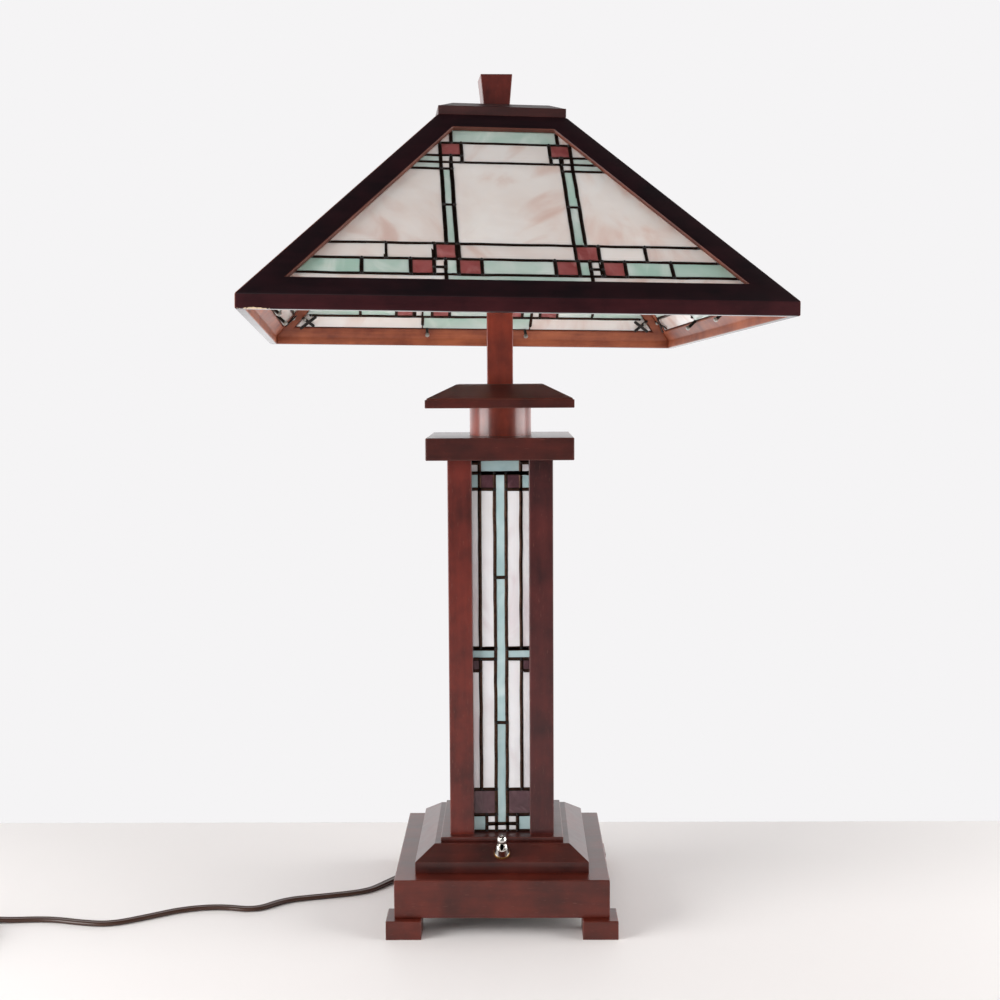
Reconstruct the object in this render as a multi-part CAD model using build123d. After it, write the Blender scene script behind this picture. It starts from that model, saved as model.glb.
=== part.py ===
from build123d import *
import math
import os

# Mission-style table lamp: a square wooden base and glazed column carry a pyramid
# shade of four leaded glass panels. Millimetres, +Z up, the origin on the table
# under the middle of the base, the switch side facing -Y.

# Base, bottom to top
FOOT_HALF = 88.6
FOOT_WIDTH = 27.1
FOOT_HEIGHT = 14.4
SLAB_HALF = 82.4
SLAB_TOP = 44.2
SLAB_WALL = 13.0
SLAB_ROOF = 11.8
COVER_THICKNESS = 3.0
COVER_RECESS = 2.0
COVER_GAP = 0.2
GLUE_BLOCK = 16.0
COVER_SCREW_RADIUS = 1.7
COVER_SCREW_HEAD_RADIUS = 3.4
COVER_SCREW_HEAD = 1.3
COVER_SCREW_LENGTH = 12.0
STEP_HALF = 67.2
STEP_SHOULDER = 52.95
STEP_TOP_HALF = 52.6
STEP_TOP = 63.07
PLATE_HALF = 48.1
PLATE_TOP = 66.4
EASED_EDGE = 0.9
FINE_EDGE = 0.6

# Column
POST_HALF = 40.9
POST_WIDTH = 18.8
POST_TOP = 362.9
GROOVE_DEPTH = 3.2
GROOVE_PLAY = 0.1
COLUMN_PANEL_HALF = 25.1
COLUMN_PANEL_RECESS = 6.7
CAP_HALF = 56.7
CAP_TOP = 380.1
COLLAR_RADIUS = 24.6
COLLAR_TOP = 402.7
CANOPY_HALF = 56.8
CANOPY_EDGE_TOP = 409.1
CANOPY_INSET = 1.4
CANOPY_LEDGE = 1.0
CANOPY_TOP_HALF = 33.6
CANOPY_TOP = 420.6
STEM_HALF = 10.3
STEM_TOP = 480.0

# Leaded glass: thickness of the came lattice and of the glass within it
CAME_THICKNESS = 2.9
GLASS_THICKNESS = 2.3
CAME_PROUD = 0.3

# Threaded pipe, rod and their nuts
PIPE_RADIUS = 4.75
PIPE_HOLE_RADIUS = 5.1
PIPE_BOTTOM = 25.0
PIPE_END = 492.0
PIPE_WALL = 1.4
RISER_START = 36.0
NUT_RADIUS = 8.5
WASHER_RADIUS = 13.0
WASHER_THICKNESS = 1.6
NUT_HEIGHT = 5.0

# Socket cluster and bulbs
BULB_AXIS_Z = 515.0
CLUSTER_RADIUS = 15.0
CLUSTER_TOP = 530.0
SOCKET_START = 16.0
SOCKET_END = 62.0
SOCKET_RADIUS = 16.5
SCREW_RADIUS = 13.0
SCREW_PLAY = 0.4
GLOBE_RADIUS = 22.5
GLOBE_CENTRE = 86.0
NECK_RADIUS = 12.0

# Night light in the column, behind the centre pipe
NIGHT_Y = 17.0
NIGHT_SOCKET_RADIUS = 9.5
NIGHT_SOCKET_TOP = 108.0
NIGHT_SCREW_RADIUS = 5.8
NIGHT_BULB_RADIUS = 9.8
NIGHT_BULB_TOP = 150.0

# Shade, in its own frame: its origin is where the cap rests on the riser's seat
SEAT = (-2.3, 3.0, 619.5)
SHADE_TILT = (-2.30, 0.55, 6.58)
SHADE_HALF = 187.4
SHADE_TOP_HALF = 48.8
SHADE_RISE = 148.25
BAND_HEIGHT = 10.05
FRAME_THICKNESS = 7.0
BAND_WIDTH = 6.5
OPENING_BOTTOM = 17.2
OPENING_TOP = 187.8
OPENING_BOTTOM_HALF = 155.1
OPENING_TOP_HALF = 38.0
GLASS_RECESS = 4.3
REBATE = 5.0
SHADE_CAP_HALF = 48.4
SHADE_CAP_EDGE = 6.84
SHADE_CAP_RISE = 4.4
SHADE_CAP_TOP_HALF = 37.7
SHADE_CAP_HOLE = 6.6
FINIAL_HALF = 9.8
FINIAL_TOP_HALF = 12.5
FINIAL_HEIGHT = 28.5
FINIAL_GAP = 0.5
FINIAL_BORE_DEPTH = 20.0
THREAD_PLAY = 0.05
SEAT_GAP = 0.5

# Toggle switch on the front bevel; its positions run inwards from the bevel's face
BEVEL_ANGLE = math.degrees(math.atan2(STEP_TOP - STEP_SHOULDER, STEP_HALF - STEP_TOP_HALF))
BUSHING_RADIUS = 5.9
BUSHING_PROUD = 5.6
BUSHING_BORE = 4.0
SWITCH_SKIN = 8.0
SWITCH_POCKET_RADIUS = 11.5
SWITCH_POCKET_END = 42.0
SWITCH_BODY = (19.0, 12.0, 20.0)
DRESS_NUT_RADIUS = 6.75
DRESS_NUT_TOP_RADIUS = 6.1
DRESS_NUT_HEIGHT = 3.6
LEVER_PIVOT_DEPTH = 3.0
LEVER_LENGTH = 15.5
LEVER_REST_ANGLE = 12.5
LEVER_BALL_RADIUS = 4.15
LEVER_PIVOT_RADIUS = 3.6

# Flat twin supply cord
CORD_WIDTH = 6.6
CORD_THICKNESS = 3.4
CORD_Z = 1.9
CORD_ROUTE = [
    (-48.5, 52.0, 5.0),
    (-68.0, 53.0, 2.6),
    (-86.0, 44.0, CORD_Z),
    (-101.0, 22.0, CORD_Z),
    (-113.0, 6.0, CORD_Z),
    (-150.0, -5.0, CORD_Z),
    (-178.0, -12.0, CORD_Z),
    (-198.0, -34.0, CORD_Z),
    (-226.0, -26.0, CORD_Z),
    (-256.0, -31.0, CORD_Z),
    (-283.0, -48.5, CORD_Z),
    (-307.0, -62.0, CORD_Z),
    (-331.0, -58.5, CORD_Z),
    (-358.0, -51.0, CORD_Z),
    (-392.0, -54.5, CORD_Z),
    (-424.0, -53.5, CORD_Z),
]
CORD_TAIL = [
    (-484.2, -104.0, 5.5),
    (-484.6, -122.0, 6.0),
    (-482.4, -139.0, 6.5),
]
COIL_CENTRE = (-440.0, -97.0)
COIL_INNER_RADIUS = 27.0
COIL_OUTER_RADIUS = 48.5
COIL_BOTTOM = 0.7
COIL_TOP = 8.0
COIL_EDGE = 2.5
TIE_WIDTH = 8.0
TIE_THICKNESS = 0.7
TIE_PLAY = 0.4
TIE_ANGLE = -75.0
PLUG_HEADING = (2.2, -17.0)
PLUG_LENGTH = 30.0
PLUG_WIDTH = 24.0
PLUG_HEIGHT = 13.0
BLADE_LENGTH = 16.5
PLUG_TAPER = 14.0
BLADE_SPACING = 12.7
BLADE_THICKNESS = 1.5
BLADE_WIDTH = 6.5

# Strain relief under the bottom cover
RELIEF_CENTRE = (-14.0, 52.0)
RELIEF_NECK_RADIUS = 6.5
RELIEF_LENGTH = 18.0
RELIEF_WIDTH = 14.0
RELIEF_FLOOR_GAP = 3.0
RELIEF_NECK_END = 2.0

# Wire leads inside the base
LEAD_RADIUS = 1.3
LEAD_BEND = 2.0

# Pins and clips that hold the glass against the shade's frame
PIN_X = 45.0
PIN_RADIUS = 1.1
PIN_LENGTH = 10.0
CLIP_X = 146.0
CLIP_SIZE = (15.0, 2.8, 0.9)
RETAINER_DEPTH = 7.45

# Glass pieces of one shade panel: from the centre line outwards, and up the slope.
# A piece with no outer edge runs out to the hip. Those right of the centre repeat
# on the left.
HIP = None
SHADE_PANES = [
    ("green", -39.0, 39.0, 174.3, 191.8),
    ("white", 40.4, HIP, 174.3, 189.6),
    ("white", -31.9, 31.9, 150.7, 172.7),
    ("ruby", 33.4, 47.5, 158.8, 172.7),
    ("white", 48.9, HIP, 158.8, 172.7),
    ("white", 33.4, 39.8, 150.7, 157.2),
    ("white", 41.6, 47.5, 150.7, 157.2),
    ("green", 48.9, HIP, 150.7, 157.2),
    ("white", 41.2, 47.3, 142.9, 149.2),
    ("green", 48.7, HIP, 142.9, 149.2),
    ("white", -39.8, 39.8, 59.0, 149.2),
    ("green", 41.2, 47.3, 101.6, 141.4),
    ("green", 41.2, 47.3, 59.0, 100.4),
    ("white", 48.7, HIP, 59.0, 141.4),
    ("white", -39.2, 39.2, 42.9, 57.4),
    ("ruby", 41.2, 56.0, 42.9, 57.4),
    ("white", 57.1, 88.9, 42.9, 57.4),
    ("white", 90.0, HIP, 42.9, 57.4),
    ("green", -24.2, 24.2, 27.3, 41.5),
    ("ruby", 25.8, 40.2, 27.3, 41.5),
    ("green", 41.9, 48.9, 27.3, 41.5),
    ("white", 50.2, 56.6, 34.6, 41.5),
    ("white", 50.2, 56.6, 27.3, 33.0),
    ("ruby", 57.9, 72.4, 27.3, 41.5),
    ("green", 73.9, 105.0, 27.3, 41.5),
    ("green", 106.2, HIP, 27.3, 41.5),
    ("white", -48.6, 48.6, 13.2, 25.7),
    ("white", 49.8, HIP, 13.2, 25.7),
]

# Glass pieces of one column panel: across from the centre line, and heights.
COLUMN_PANES = [
    ("green", -15.0, 15.0, 353.1, 361.9),
    ("white", 17.0, 24.1, 353.1, 359.0),
    ("ruby", 5.1, 15.0, 340.2, 351.2),
    ("green", 17.0, 24.1, 340.4, 351.2),
    ("green", -3.55, 3.55, 270.8, 350.8),
    ("green", -3.55, 3.55, 155.2, 269.6),
    ("green", -3.55, 3.55, 73.8, 154.0),
    ("white", 5.1, 15.0, 214.9, 338.8),
    ("white", 17.0, 24.1, 214.9, 338.4),
    ("green", 5.1, 24.1, 206.4, 212.6),
    ("white", 5.1, 15.0, 101.5, 204.6),
    ("ruby", 17.0, 24.1, 196.9, 204.6),
    ("white", 17.0, 24.1, 101.5, 195.6),
    ("ruby", 5.1, 24.1, 80.9, 99.9),
    ("green", 13.1, 24.1, 67.4, 79.3),
    ("white", 5.3, 11.5, 73.9, 79.5),
    ("white", 5.0, 11.6, 67.4, 71.8),
    ("white", -3.6, 3.6, 67.4, 71.8),
]

SIDES = ("front", "right", "back", "left")
CORNERS = {
    "front_left": (-1, -1),
    "front_right": (1, -1),
    "back_right": (1, 1),
    "back_left": (-1, 1),
}


# ---------------------------------------------------------------- small helpers
def slab_of(half, bottom, top):
    """A square block, centred on the lamp's axis."""
    return Pos(0, 0, bottom) * Box(
        2 * half, 2 * half, top - bottom, align=(Align.CENTER, Align.CENTER, Align.MIN)
    )


def tapered(half_bottom, half_top, bottom, top):
    """A square block that narrows or widens from bottom to top."""
    lower = Pos(0, 0, bottom) * Rectangle(2 * half_bottom, 2 * half_bottom)
    upper = Pos(0, 0, top) * Rectangle(2 * half_top, 2 * half_top)
    return loft([lower, upper])


def rod(radius, bottom, top):
    """A round bar on the lamp's axis."""
    return Pos(0, 0, bottom) * Cylinder(
        radius, top - bottom, align=(Align.CENTER, Align.CENTER, Align.MIN)
    )


def eased(shape, radius=EASED_EDGE):
    """The same block with all its edges sanded round."""
    return fillet(shape.edges(), radius)


def turned(points):
    """A closed outline of (radius, height) points spun about the vertical axis."""
    outline = make_face(Plane.XZ * Polyline(*points, close=True))
    return revolve(outline, Axis.Z)


def quarter(shape, turns):
    """The shape turned a number of quarter turns about the vertical axis."""
    return Rot(0, 0, 90 * turns) * shape


def both_hands(panes):
    """Every pane of a pattern, with those beside the centre line mirrored."""
    for colour, inner, outer, low, high in panes:
        yield colour, inner, outer, low, high, 1
        if inner > 0:
            yield colour, inner, outer, low, high, -1


# ---------------------------------------------------------------- base
def foot(x, y):
    centre = FOOT_HALF - FOOT_WIDTH / 2
    block = Box(
        FOOT_WIDTH, FOOT_WIDTH, FOOT_HEIGHT, align=(Align.CENTER, Align.CENTER, Align.MIN)
    )
    upright = block.edges().filter_by(Axis.Z) + block.edges().group_by(Axis.Z)[-1]
    return Pos(x * centre, y * centre, 0) * fillet(upright, EASED_EDGE)


def switch_frame():
    """The switch's own frame: its origin on the bevel, +Z out along the bushing."""
    y = -(STEP_HALF + STEP_TOP_HALF) / 2
    z = (STEP_SHOULDER + STEP_TOP) / 2
    return Location((0, y, z), (BEVEL_ANGLE, 0, 0))


def switch_cut():
    hole = rod(BUSHING_RADIUS + THREAD_PLAY, -SWITCH_SKIN - 1, 5)
    pocket = rod(SWITCH_POCKET_RADIUS, -SWITCH_POCKET_END, -SWITCH_SKIN)
    return switch_frame() * (hole + pocket)


def base_slab():
    body = eased(slab_of(SLAB_HALF, FOOT_HEIGHT, SLAB_TOP))
    hollow = slab_of(SLAB_HALF - SLAB_WALL, FOOT_HEIGHT - 1, SLAB_TOP - SLAB_ROOF)
    cover_top = FOOT_HEIGHT + COVER_RECESS + COVER_THICKNESS
    inset = SLAB_HALF - SLAB_WALL - GLUE_BLOCK / 2
    for x, y in CORNERS.values():
        block = Box(GLUE_BLOCK, GLUE_BLOCK, SLAB_TOP - SLAB_ROOF - cover_top)
        hollow -= Pos(x * inset, y * inset, (SLAB_TOP - SLAB_ROOF + cover_top) / 2) * block
    return body - hollow - rod(PIPE_HOLE_RADIUS, 0, SLAB_TOP + 1) - switch_cut()


def cover_screw_places():
    inset = SLAB_HALF - SLAB_WALL - GLUE_BLOCK / 2
    return [(x * inset, y * inset) for x, y in CORNERS.values()]


def base_bottom_cover():
    bottom = FOOT_HEIGHT + COVER_RECESS
    cover = slab_of(SLAB_HALF - SLAB_WALL - COVER_GAP, bottom, bottom + COVER_THICKNESS)
    for x, y in cover_screw_places():
        cover -= Pos(x, y, 0) * rod(COVER_SCREW_RADIUS + 0.1, 0, SLAB_TOP)
    return cover - Pos(*RELIEF_CENTRE, 0) * rod(RELIEF_NECK_RADIUS, 0, SLAB_TOP)


def base_cover_screws():
    screw = turned(
        [
            (0, -COVER_SCREW_HEAD),
            (COVER_SCREW_HEAD_RADIUS, -COVER_SCREW_HEAD),
            (COVER_SCREW_HEAD_RADIUS, 0),
            (COVER_SCREW_RADIUS, 0),
            (COVER_SCREW_RADIUS, COVER_SCREW_LENGTH - 2),
            (0, COVER_SCREW_LENGTH),
        ]
    )
    bottom = FOOT_HEIGHT + COVER_RECESS
    return Compound(children=[Pos(x, y, bottom) * screw for x, y in cover_screw_places()])


def step_block():
    lower = slab_of(STEP_HALF, SLAB_TOP, STEP_SHOULDER)
    upper = tapered(STEP_HALF, STEP_TOP_HALF, STEP_SHOULDER, STEP_TOP)
    body = eased(lower + upper, FINE_EDGE)
    return body - rod(PIPE_HOLE_RADIUS, 0, STEP_TOP + 1) - switch_cut()


def column_base_plate():
    body = eased(slab_of(PLATE_HALF, STEP_TOP, PLATE_TOP), FINE_EDGE)
    return body - rod(PIPE_HOLE_RADIUS, STEP_TOP - 1, PLATE_TOP + 1)


# ---------------------------------------------------------------- column
def column_post(x, y):
    """A corner post with a groove in each inner face for the edge of a leaded panel."""
    centre = POST_HALF - POST_WIDTH / 2
    height = POST_TOP - PLATE_TOP
    z = (POST_TOP + PLATE_TOP) / 2
    post = Box(POST_WIDTH, POST_WIDTH, height)
    post = Pos(x * centre, y * centre, z) * fillet(post.edges().filter_by(Axis.Z), EASED_EDGE)
    width = CAME_THICKNESS + 2 * GROOVE_PLAY
    inner = POST_HALF - POST_WIDTH
    middle = POST_HALF - COLUMN_PANEL_RECESS - CAME_THICKNESS / 2
    post -= Pos(x * inner, y * middle, z) * Box(2 * GROOVE_DEPTH, width, height)
    return post - Pos(x * middle, y * inner, z) * Box(width, 2 * GROOVE_DEPTH, height)


def column_panel():
    """One leaded panel of the column's front: its glass pieces and its came lattice."""
    front = -(POST_HALF - COLUMN_PANEL_RECESS)
    sheet = Pos(0, front + CAME_THICKNESS / 2, (PLATE_TOP + POST_TOP) / 2) * Box(
        2 * COLUMN_PANEL_HALF, CAME_THICKNESS, POST_TOP - PLATE_TOP
    )
    glass = []
    for _, inner, outer, low, high, hand in both_hands(COLUMN_PANES):
        x = hand * (inner + outer) / 2
        z = (low + high) / 2
        place = Pos(x, front + CAME_PROUD + GLASS_THICKNESS / 2, z)
        glass.append(place * Box(outer - inner, GLASS_THICKNESS, high - low))
        sheet -= Pos(x, front, z) * Box(outer - inner, 4 * CAME_THICKNESS, high - low)
    return Compound(children=glass), sheet


def column_cap():
    return eased(slab_of(CAP_HALF, POST_TOP, CAP_TOP)) - rod(PIPE_HOLE_RADIUS, 0, STEM_TOP)


def collar():
    body = rod(COLLAR_RADIUS, CAP_TOP, COLLAR_TOP)
    return body - rod(PIPE_HOLE_RADIUS, 0, STEM_TOP)


def canopy_plate():
    edge = slab_of(CANOPY_HALF, COLLAR_TOP, CANOPY_EDGE_TOP)
    ledge_top = CANOPY_EDGE_TOP + CANOPY_LEDGE
    ledge = slab_of(CANOPY_HALF - CANOPY_INSET, CANOPY_EDGE_TOP, ledge_top)
    roof = tapered(CANOPY_HALF - CANOPY_INSET, CANOPY_TOP_HALF, ledge_top, CANOPY_TOP)
    return eased(edge, FINE_EDGE) + ledge + roof - rod(PIPE_HOLE_RADIUS, 0, STEM_TOP)


def stem():
    body = slab_of(STEM_HALF, CANOPY_TOP, STEM_TOP)
    body = fillet(body.edges().filter_by(Axis.Z), EASED_EDGE)
    return body - rod(PIPE_HOLE_RADIUS, 0, STEM_TOP + 1)


def centre_pipe():
    """Threaded pipe that clamps the base, column and stem together; wires run inside."""
    return rod(PIPE_RADIUS, PIPE_BOTTOM, PIPE_END) - rod(PIPE_RADIUS - PIPE_WALL, 0, PIPE_END + 1)


def washer_over_nut(top):
    """A washer with a hexagon nut under it, threaded on the pipe."""
    washer = rod(WASHER_RADIUS, top - WASHER_THICKNESS, top)
    nut = extrude(Pos(0, 0, top - WASHER_THICKNESS) * RegularPolygon(NUT_RADIUS, 6), -NUT_HEIGHT)
    return washer + nut - rod(PIPE_RADIUS, 0, top + 1)


def lock_nuts_and_washers():
    """Nut and washer under the slab's roof, and the shade's seat washer and nut."""
    lower = washer_over_nut(SLAB_TOP - SLAB_ROOF)
    upper = riser_frame() * washer_over_nut(riser_length() - SEAT_GAP)
    return Compound(children=[lower, upper])


# ---------------------------------------------------------------- lights
def cluster_body():
    body = turned(
        [
            (0, STEM_TOP),
            (CLUSTER_RADIUS - 2, STEM_TOP),
            (CLUSTER_RADIUS, STEM_TOP + 3),
            (CLUSTER_RADIUS, CLUSTER_TOP - 6),
            (10, CLUSTER_TOP),
            (0, CLUSTER_TOP),
        ]
    )
    arms = Pos(0, 0, BULB_AXIS_Z) * Rot(0, 90, 0) * Cylinder(6.0, 2 * SOCKET_START)
    pipe = rod(PIPE_RADIUS, 0, PIPE_END)
    riser = riser_frame() * rod(PIPE_RADIUS, RISER_START, riser_length())
    return body + arms - pipe - riser


def lamp_socket(hand):
    shell = turned(
        [
            (0, SOCKET_START),
            (9, SOCKET_START),
            (SOCKET_RADIUS - 1.5, SOCKET_START + 10),
            (SOCKET_RADIUS, SOCKET_START + 20),
            (SOCKET_RADIUS, SOCKET_END),
            (SCREW_RADIUS + SCREW_PLAY, SOCKET_END),
            (SCREW_RADIUS + SCREW_PLAY, SOCKET_END - 28),
            (0, SOCKET_END - 28),
        ]
    )
    return Pos(0, 0, BULB_AXIS_Z) * Rot(0, 90 * hand, 0) * shell


def bulb(hand):
    """A small globe bulb with its screw cap, along its own axis."""
    start = SOCKET_END - 26
    shoulder = GLOBE_CENTRE - math.sqrt(GLOBE_RADIUS**2 - NECK_RADIUS**2)
    with BuildPart() as lamp:
        with BuildSketch(Plane.XZ):
            with BuildLine():
                Polyline(
                    (0, start),
                    (SCREW_RADIUS - 3, start),
                    (SCREW_RADIUS, start + 5),
                    (SCREW_RADIUS, SOCKET_END),
                    (NECK_RADIUS, SOCKET_END + 1),
                    (NECK_RADIUS, shoulder),
                )
                ThreePointArc(
                    (NECK_RADIUS, shoulder),
                    (GLOBE_RADIUS, GLOBE_CENTRE),
                    (0, GLOBE_CENTRE + GLOBE_RADIUS),
                )
                Line((0, GLOBE_CENTRE + GLOBE_RADIUS), (0, start))
            make_face()
        revolve(axis=Axis.Z)
    return Pos(0, 0, BULB_AXIS_Z) * Rot(0, 90 * hand, 0) * lamp.part


def night_light_socket():
    shell = turned(
        [
            (0, PLATE_TOP),
            (NIGHT_SOCKET_RADIUS, PLATE_TOP),
            (NIGHT_SOCKET_RADIUS, NIGHT_SOCKET_TOP),
            (NIGHT_SCREW_RADIUS + SCREW_PLAY, NIGHT_SOCKET_TOP),
            (NIGHT_SCREW_RADIUS + SCREW_PLAY, NIGHT_SOCKET_TOP - 18),
            (0, NIGHT_SOCKET_TOP - 18),
        ]
    )
    return Pos(0, NIGHT_Y, 0) * shell


def night_light_bulb():
    start = NIGHT_SOCKET_TOP - 16
    neck_top = NIGHT_SOCKET_TOP + 6
    centre = NIGHT_BULB_TOP - NIGHT_BULB_RADIUS
    with BuildPart() as lamp:
        with BuildSketch(Plane.XZ):
            with BuildLine():
                Polyline(
                    (0, start),
                    (NIGHT_SCREW_RADIUS, start),
                    (NIGHT_SCREW_RADIUS, neck_top),
                    (NIGHT_BULB_RADIUS, neck_top + 8),
                    (NIGHT_BULB_RADIUS, centre),
                )
                RadiusArc(
                    (NIGHT_BULB_RADIUS, centre),
                    (0, NIGHT_BULB_TOP),
                    -NIGHT_BULB_RADIUS,
                )
                Line((0, NIGHT_BULB_TOP), (0, start))
            make_face()
        revolve(axis=Axis.Z)
    return Pos(0, NIGHT_Y, 0) * lamp.part


# ---------------------------------------------------------------- riser and shade
def riser_length():
    return math.dist((0, 0, STEM_TOP), SEAT)


def riser_frame():
    """The riser's frame: it leaves the stem's top and leans a little to its seat."""
    x, y, _ = SEAT
    length = riser_length()
    lean_y = math.asin(x / length)
    lean_x = -math.asin(y / length / math.cos(lean_y))
    return Location((0, 0, STEM_TOP), (math.degrees(lean_x), math.degrees(lean_y), 0))


def riser_rod():
    top = riser_length() + SHADE_CAP_EDGE + SHADE_CAP_RISE + FINIAL_BORE_DEPTH - 1
    return riser_frame() * rod(PIPE_RADIUS, RISER_START, top)


def shade_frame_location():
    return Location(SEAT, SHADE_TILT)


def slope_plane(depth=0.0):
    """The outer face of the front side, or a plane some depth behind it."""
    run = SHADE_HALF - SHADE_TOP_HALF
    length = math.hypot(run, SHADE_RISE)
    outward = (0, -SHADE_RISE / length, run / length)
    face = Plane(origin=(0, -SHADE_HALF, -SHADE_RISE), x_dir=(1, 0, 0), z_dir=outward)
    return face.offset(-depth)


def hip_at(height, margin=0.0):
    """Half the opening's width at a height up the slope, plus a square margin."""
    slope = (OPENING_BOTTOM_HALF - OPENING_TOP_HALF) / (OPENING_TOP - OPENING_BOTTOM)
    widening = margin * math.hypot(1, slope)
    return OPENING_BOTTOM_HALF + widening - slope * (height - OPENING_BOTTOM)


def trapezoid(low, high, margin):
    """The opening's outline between two heights up the slope, grown by a margin."""
    wide = hip_at(low, margin)
    narrow = hip_at(high, margin)
    corners = [(-wide, low), (wide, low), (narrow, high), (-narrow, high)]
    return make_face(Polyline(*corners, close=True))


def pane_outline(inner, outer, low, high, hand):
    """One pane's outline; beside the hip it reaches into the rebate."""
    low_end = hip_at(low, REBATE - 1) if outer is HIP else outer
    high_end = hip_at(high, REBATE - 1) if outer is HIP else outer
    corners = [(inner, low), (low_end, low), (high_end, high), (inner, high)]
    return make_face(Polyline(*[(hand * x, y) for x, y in corners], close=True))


def shade_frame():
    """The mitred wooden frame of the front side: band, rails and hip stiles in one."""
    run = SHADE_HALF - SHADE_TOP_HALF
    length = math.hypot(run, SHADE_RISE)
    inward = FRAME_THICKNESS * length / SHADE_RISE
    inner_bottom = SHADE_HALF - BAND_WIDTH
    rim = -SHADE_RISE - BAND_HEIGHT
    section = [
        (-SHADE_HALF, rim),
        (-SHADE_HALF, -SHADE_RISE),
        (-SHADE_TOP_HALF, 0),
        (-(SHADE_TOP_HALF - inward), 0),
        (-inner_bottom, -SHADE_RISE + (SHADE_HALF - inward - inner_bottom) * SHADE_RISE / run),
        (-inner_bottom, rim),
    ]
    wall = extrude(make_face(Plane.YZ * Polyline(*section, close=True)), SHADE_HALF + 5, both=True)
    reach = 2 * SHADE_HALF
    wedge = make_face(Polyline((0, 0), (-reach, -reach), (reach, -reach), close=True))
    wall &= extrude(Pos(0, 0, rim - 5) * wedge, SHADE_RISE + 40)
    opening = trapezoid(OPENING_BOTTOM, OPENING_TOP, 0)
    wall -= extrude(slope_plane(-5) * opening, -30)
    rebate = trapezoid(OPENING_BOTTOM - REBATE, OPENING_TOP + REBATE, REBATE)
    return wall - extrude(slope_plane(GLASS_RECESS - CAME_PROUD) * rebate, -20)


def shade_panel():
    """The front side's glass pieces and its came lattice, lying in the rebate."""
    border = trapezoid(OPENING_BOTTOM - REBATE, OPENING_TOP + REBATE, REBATE)
    sheet = extrude(slope_plane(GLASS_RECESS - CAME_PROUD) * border, -CAME_THICKNESS)
    glass = []
    for _, inner, outer, low, high, hand in both_hands(SHADE_PANES):
        outline = pane_outline(inner, outer, low, high, hand)
        glass.append(extrude(slope_plane(GLASS_RECESS) * outline, -GLASS_THICKNESS))
        sheet -= extrude(slope_plane() * outline, -4 * CAME_THICKNESS)
    return Compound(children=glass), sheet


def shade_top_cap():
    edge = slab_of(SHADE_CAP_HALF, 0, SHADE_CAP_EDGE)
    roof = tapered(
        SHADE_CAP_HALF - 0.6, SHADE_CAP_TOP_HALF, SHADE_CAP_EDGE, SHADE_CAP_EDGE + SHADE_CAP_RISE
    )
    return eased(edge, FINE_EDGE) + roof - rod(SHADE_CAP_HOLE, -1, SHADE_CAP_EDGE + SHADE_CAP_RISE + 1)


def glass_retainers():
    """Two pins and two flat corner clips inside the bottom rail of each side."""
    pieces = []
    for hand in (-1, 1):
        pin = Pos(hand * PIN_X, OPENING_BOTTOM - PIN_RADIUS, -PIN_LENGTH / 2)
        pieces.append(slope_plane(RETAINER_DEPTH) * pin * Cylinder(PIN_RADIUS, PIN_LENGTH))
        clip = Pos(hand * CLIP_X, OPENING_BOTTOM + 3, -CLIP_SIZE[2] / 2) * Rot(0, 0, hand * 45)
        pieces.append(slope_plane(RETAINER_DEPTH) * clip * Box(*CLIP_SIZE))
    return [quarter(piece, turns) for turns in range(4) for piece in pieces]


def finial():
    start = riser_length() + SHADE_CAP_EDGE + SHADE_CAP_RISE + FINIAL_GAP
    body = tapered(FINIAL_HALF, FINIAL_TOP_HALF, start, start + FINIAL_HEIGHT)
    body = fillet(body.edges(), 0.7)
    bore = rod(PIPE_RADIUS + THREAD_PLAY, start - 5, start + FINIAL_BORE_DEPTH)
    return riser_frame() * Rot(0, 0, SHADE_TILT[2]) * (body - bore)


# ---------------------------------------------------------------- switch
def switch_body():
    """The switch's case with its terminals and its threaded bushing."""
    width, height, depth = SWITCH_BODY
    case = Pos(0, 0, -SWITCH_SKIN - depth / 2) * Box(width, height, depth)
    for x in (-5, 5):
        case += Pos(x, 0, -SWITCH_SKIN - depth - 3) * Box(0.8, 5, 6)
    bushing = rod(BUSHING_RADIUS, -SWITCH_SKIN, BUSHING_PROUD)
    bore = rod(BUSHING_BORE, -SWITCH_SKIN, BUSHING_PROUD + 1)
    return switch_frame() * (case + (bushing - bore))


def switch_dress_nut():
    body = turned(
        [
            (BUSHING_RADIUS, 0),
            (DRESS_NUT_RADIUS + 0.6, 0),
            (DRESS_NUT_RADIUS + 0.6, 0.9),
            (DRESS_NUT_RADIUS, 1.3),
            (DRESS_NUT_TOP_RADIUS, DRESS_NUT_HEIGHT),
            (BUSHING_RADIUS, DRESS_NUT_HEIGHT),
        ]
    )
    return switch_frame() * body


def switch_lever():
    """The lever at rest, tipped up towards the column."""
    shaft = turned([(0, 0), (2.4, 0), (1.5, 6), (2.0, LEVER_LENGTH - 2), (0, LEVER_LENGTH)])
    ball = Pos(0, 0, LEVER_LENGTH) * Sphere(LEVER_BALL_RADIUS)
    lever = shaft + ball + Sphere(LEVER_PIVOT_RADIUS)
    pivot = Pos(0, 0, -LEVER_PIVOT_DEPTH) * Rot(-LEVER_REST_ANGLE, 0, 0)
    return switch_frame() * pivot * lever


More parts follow.
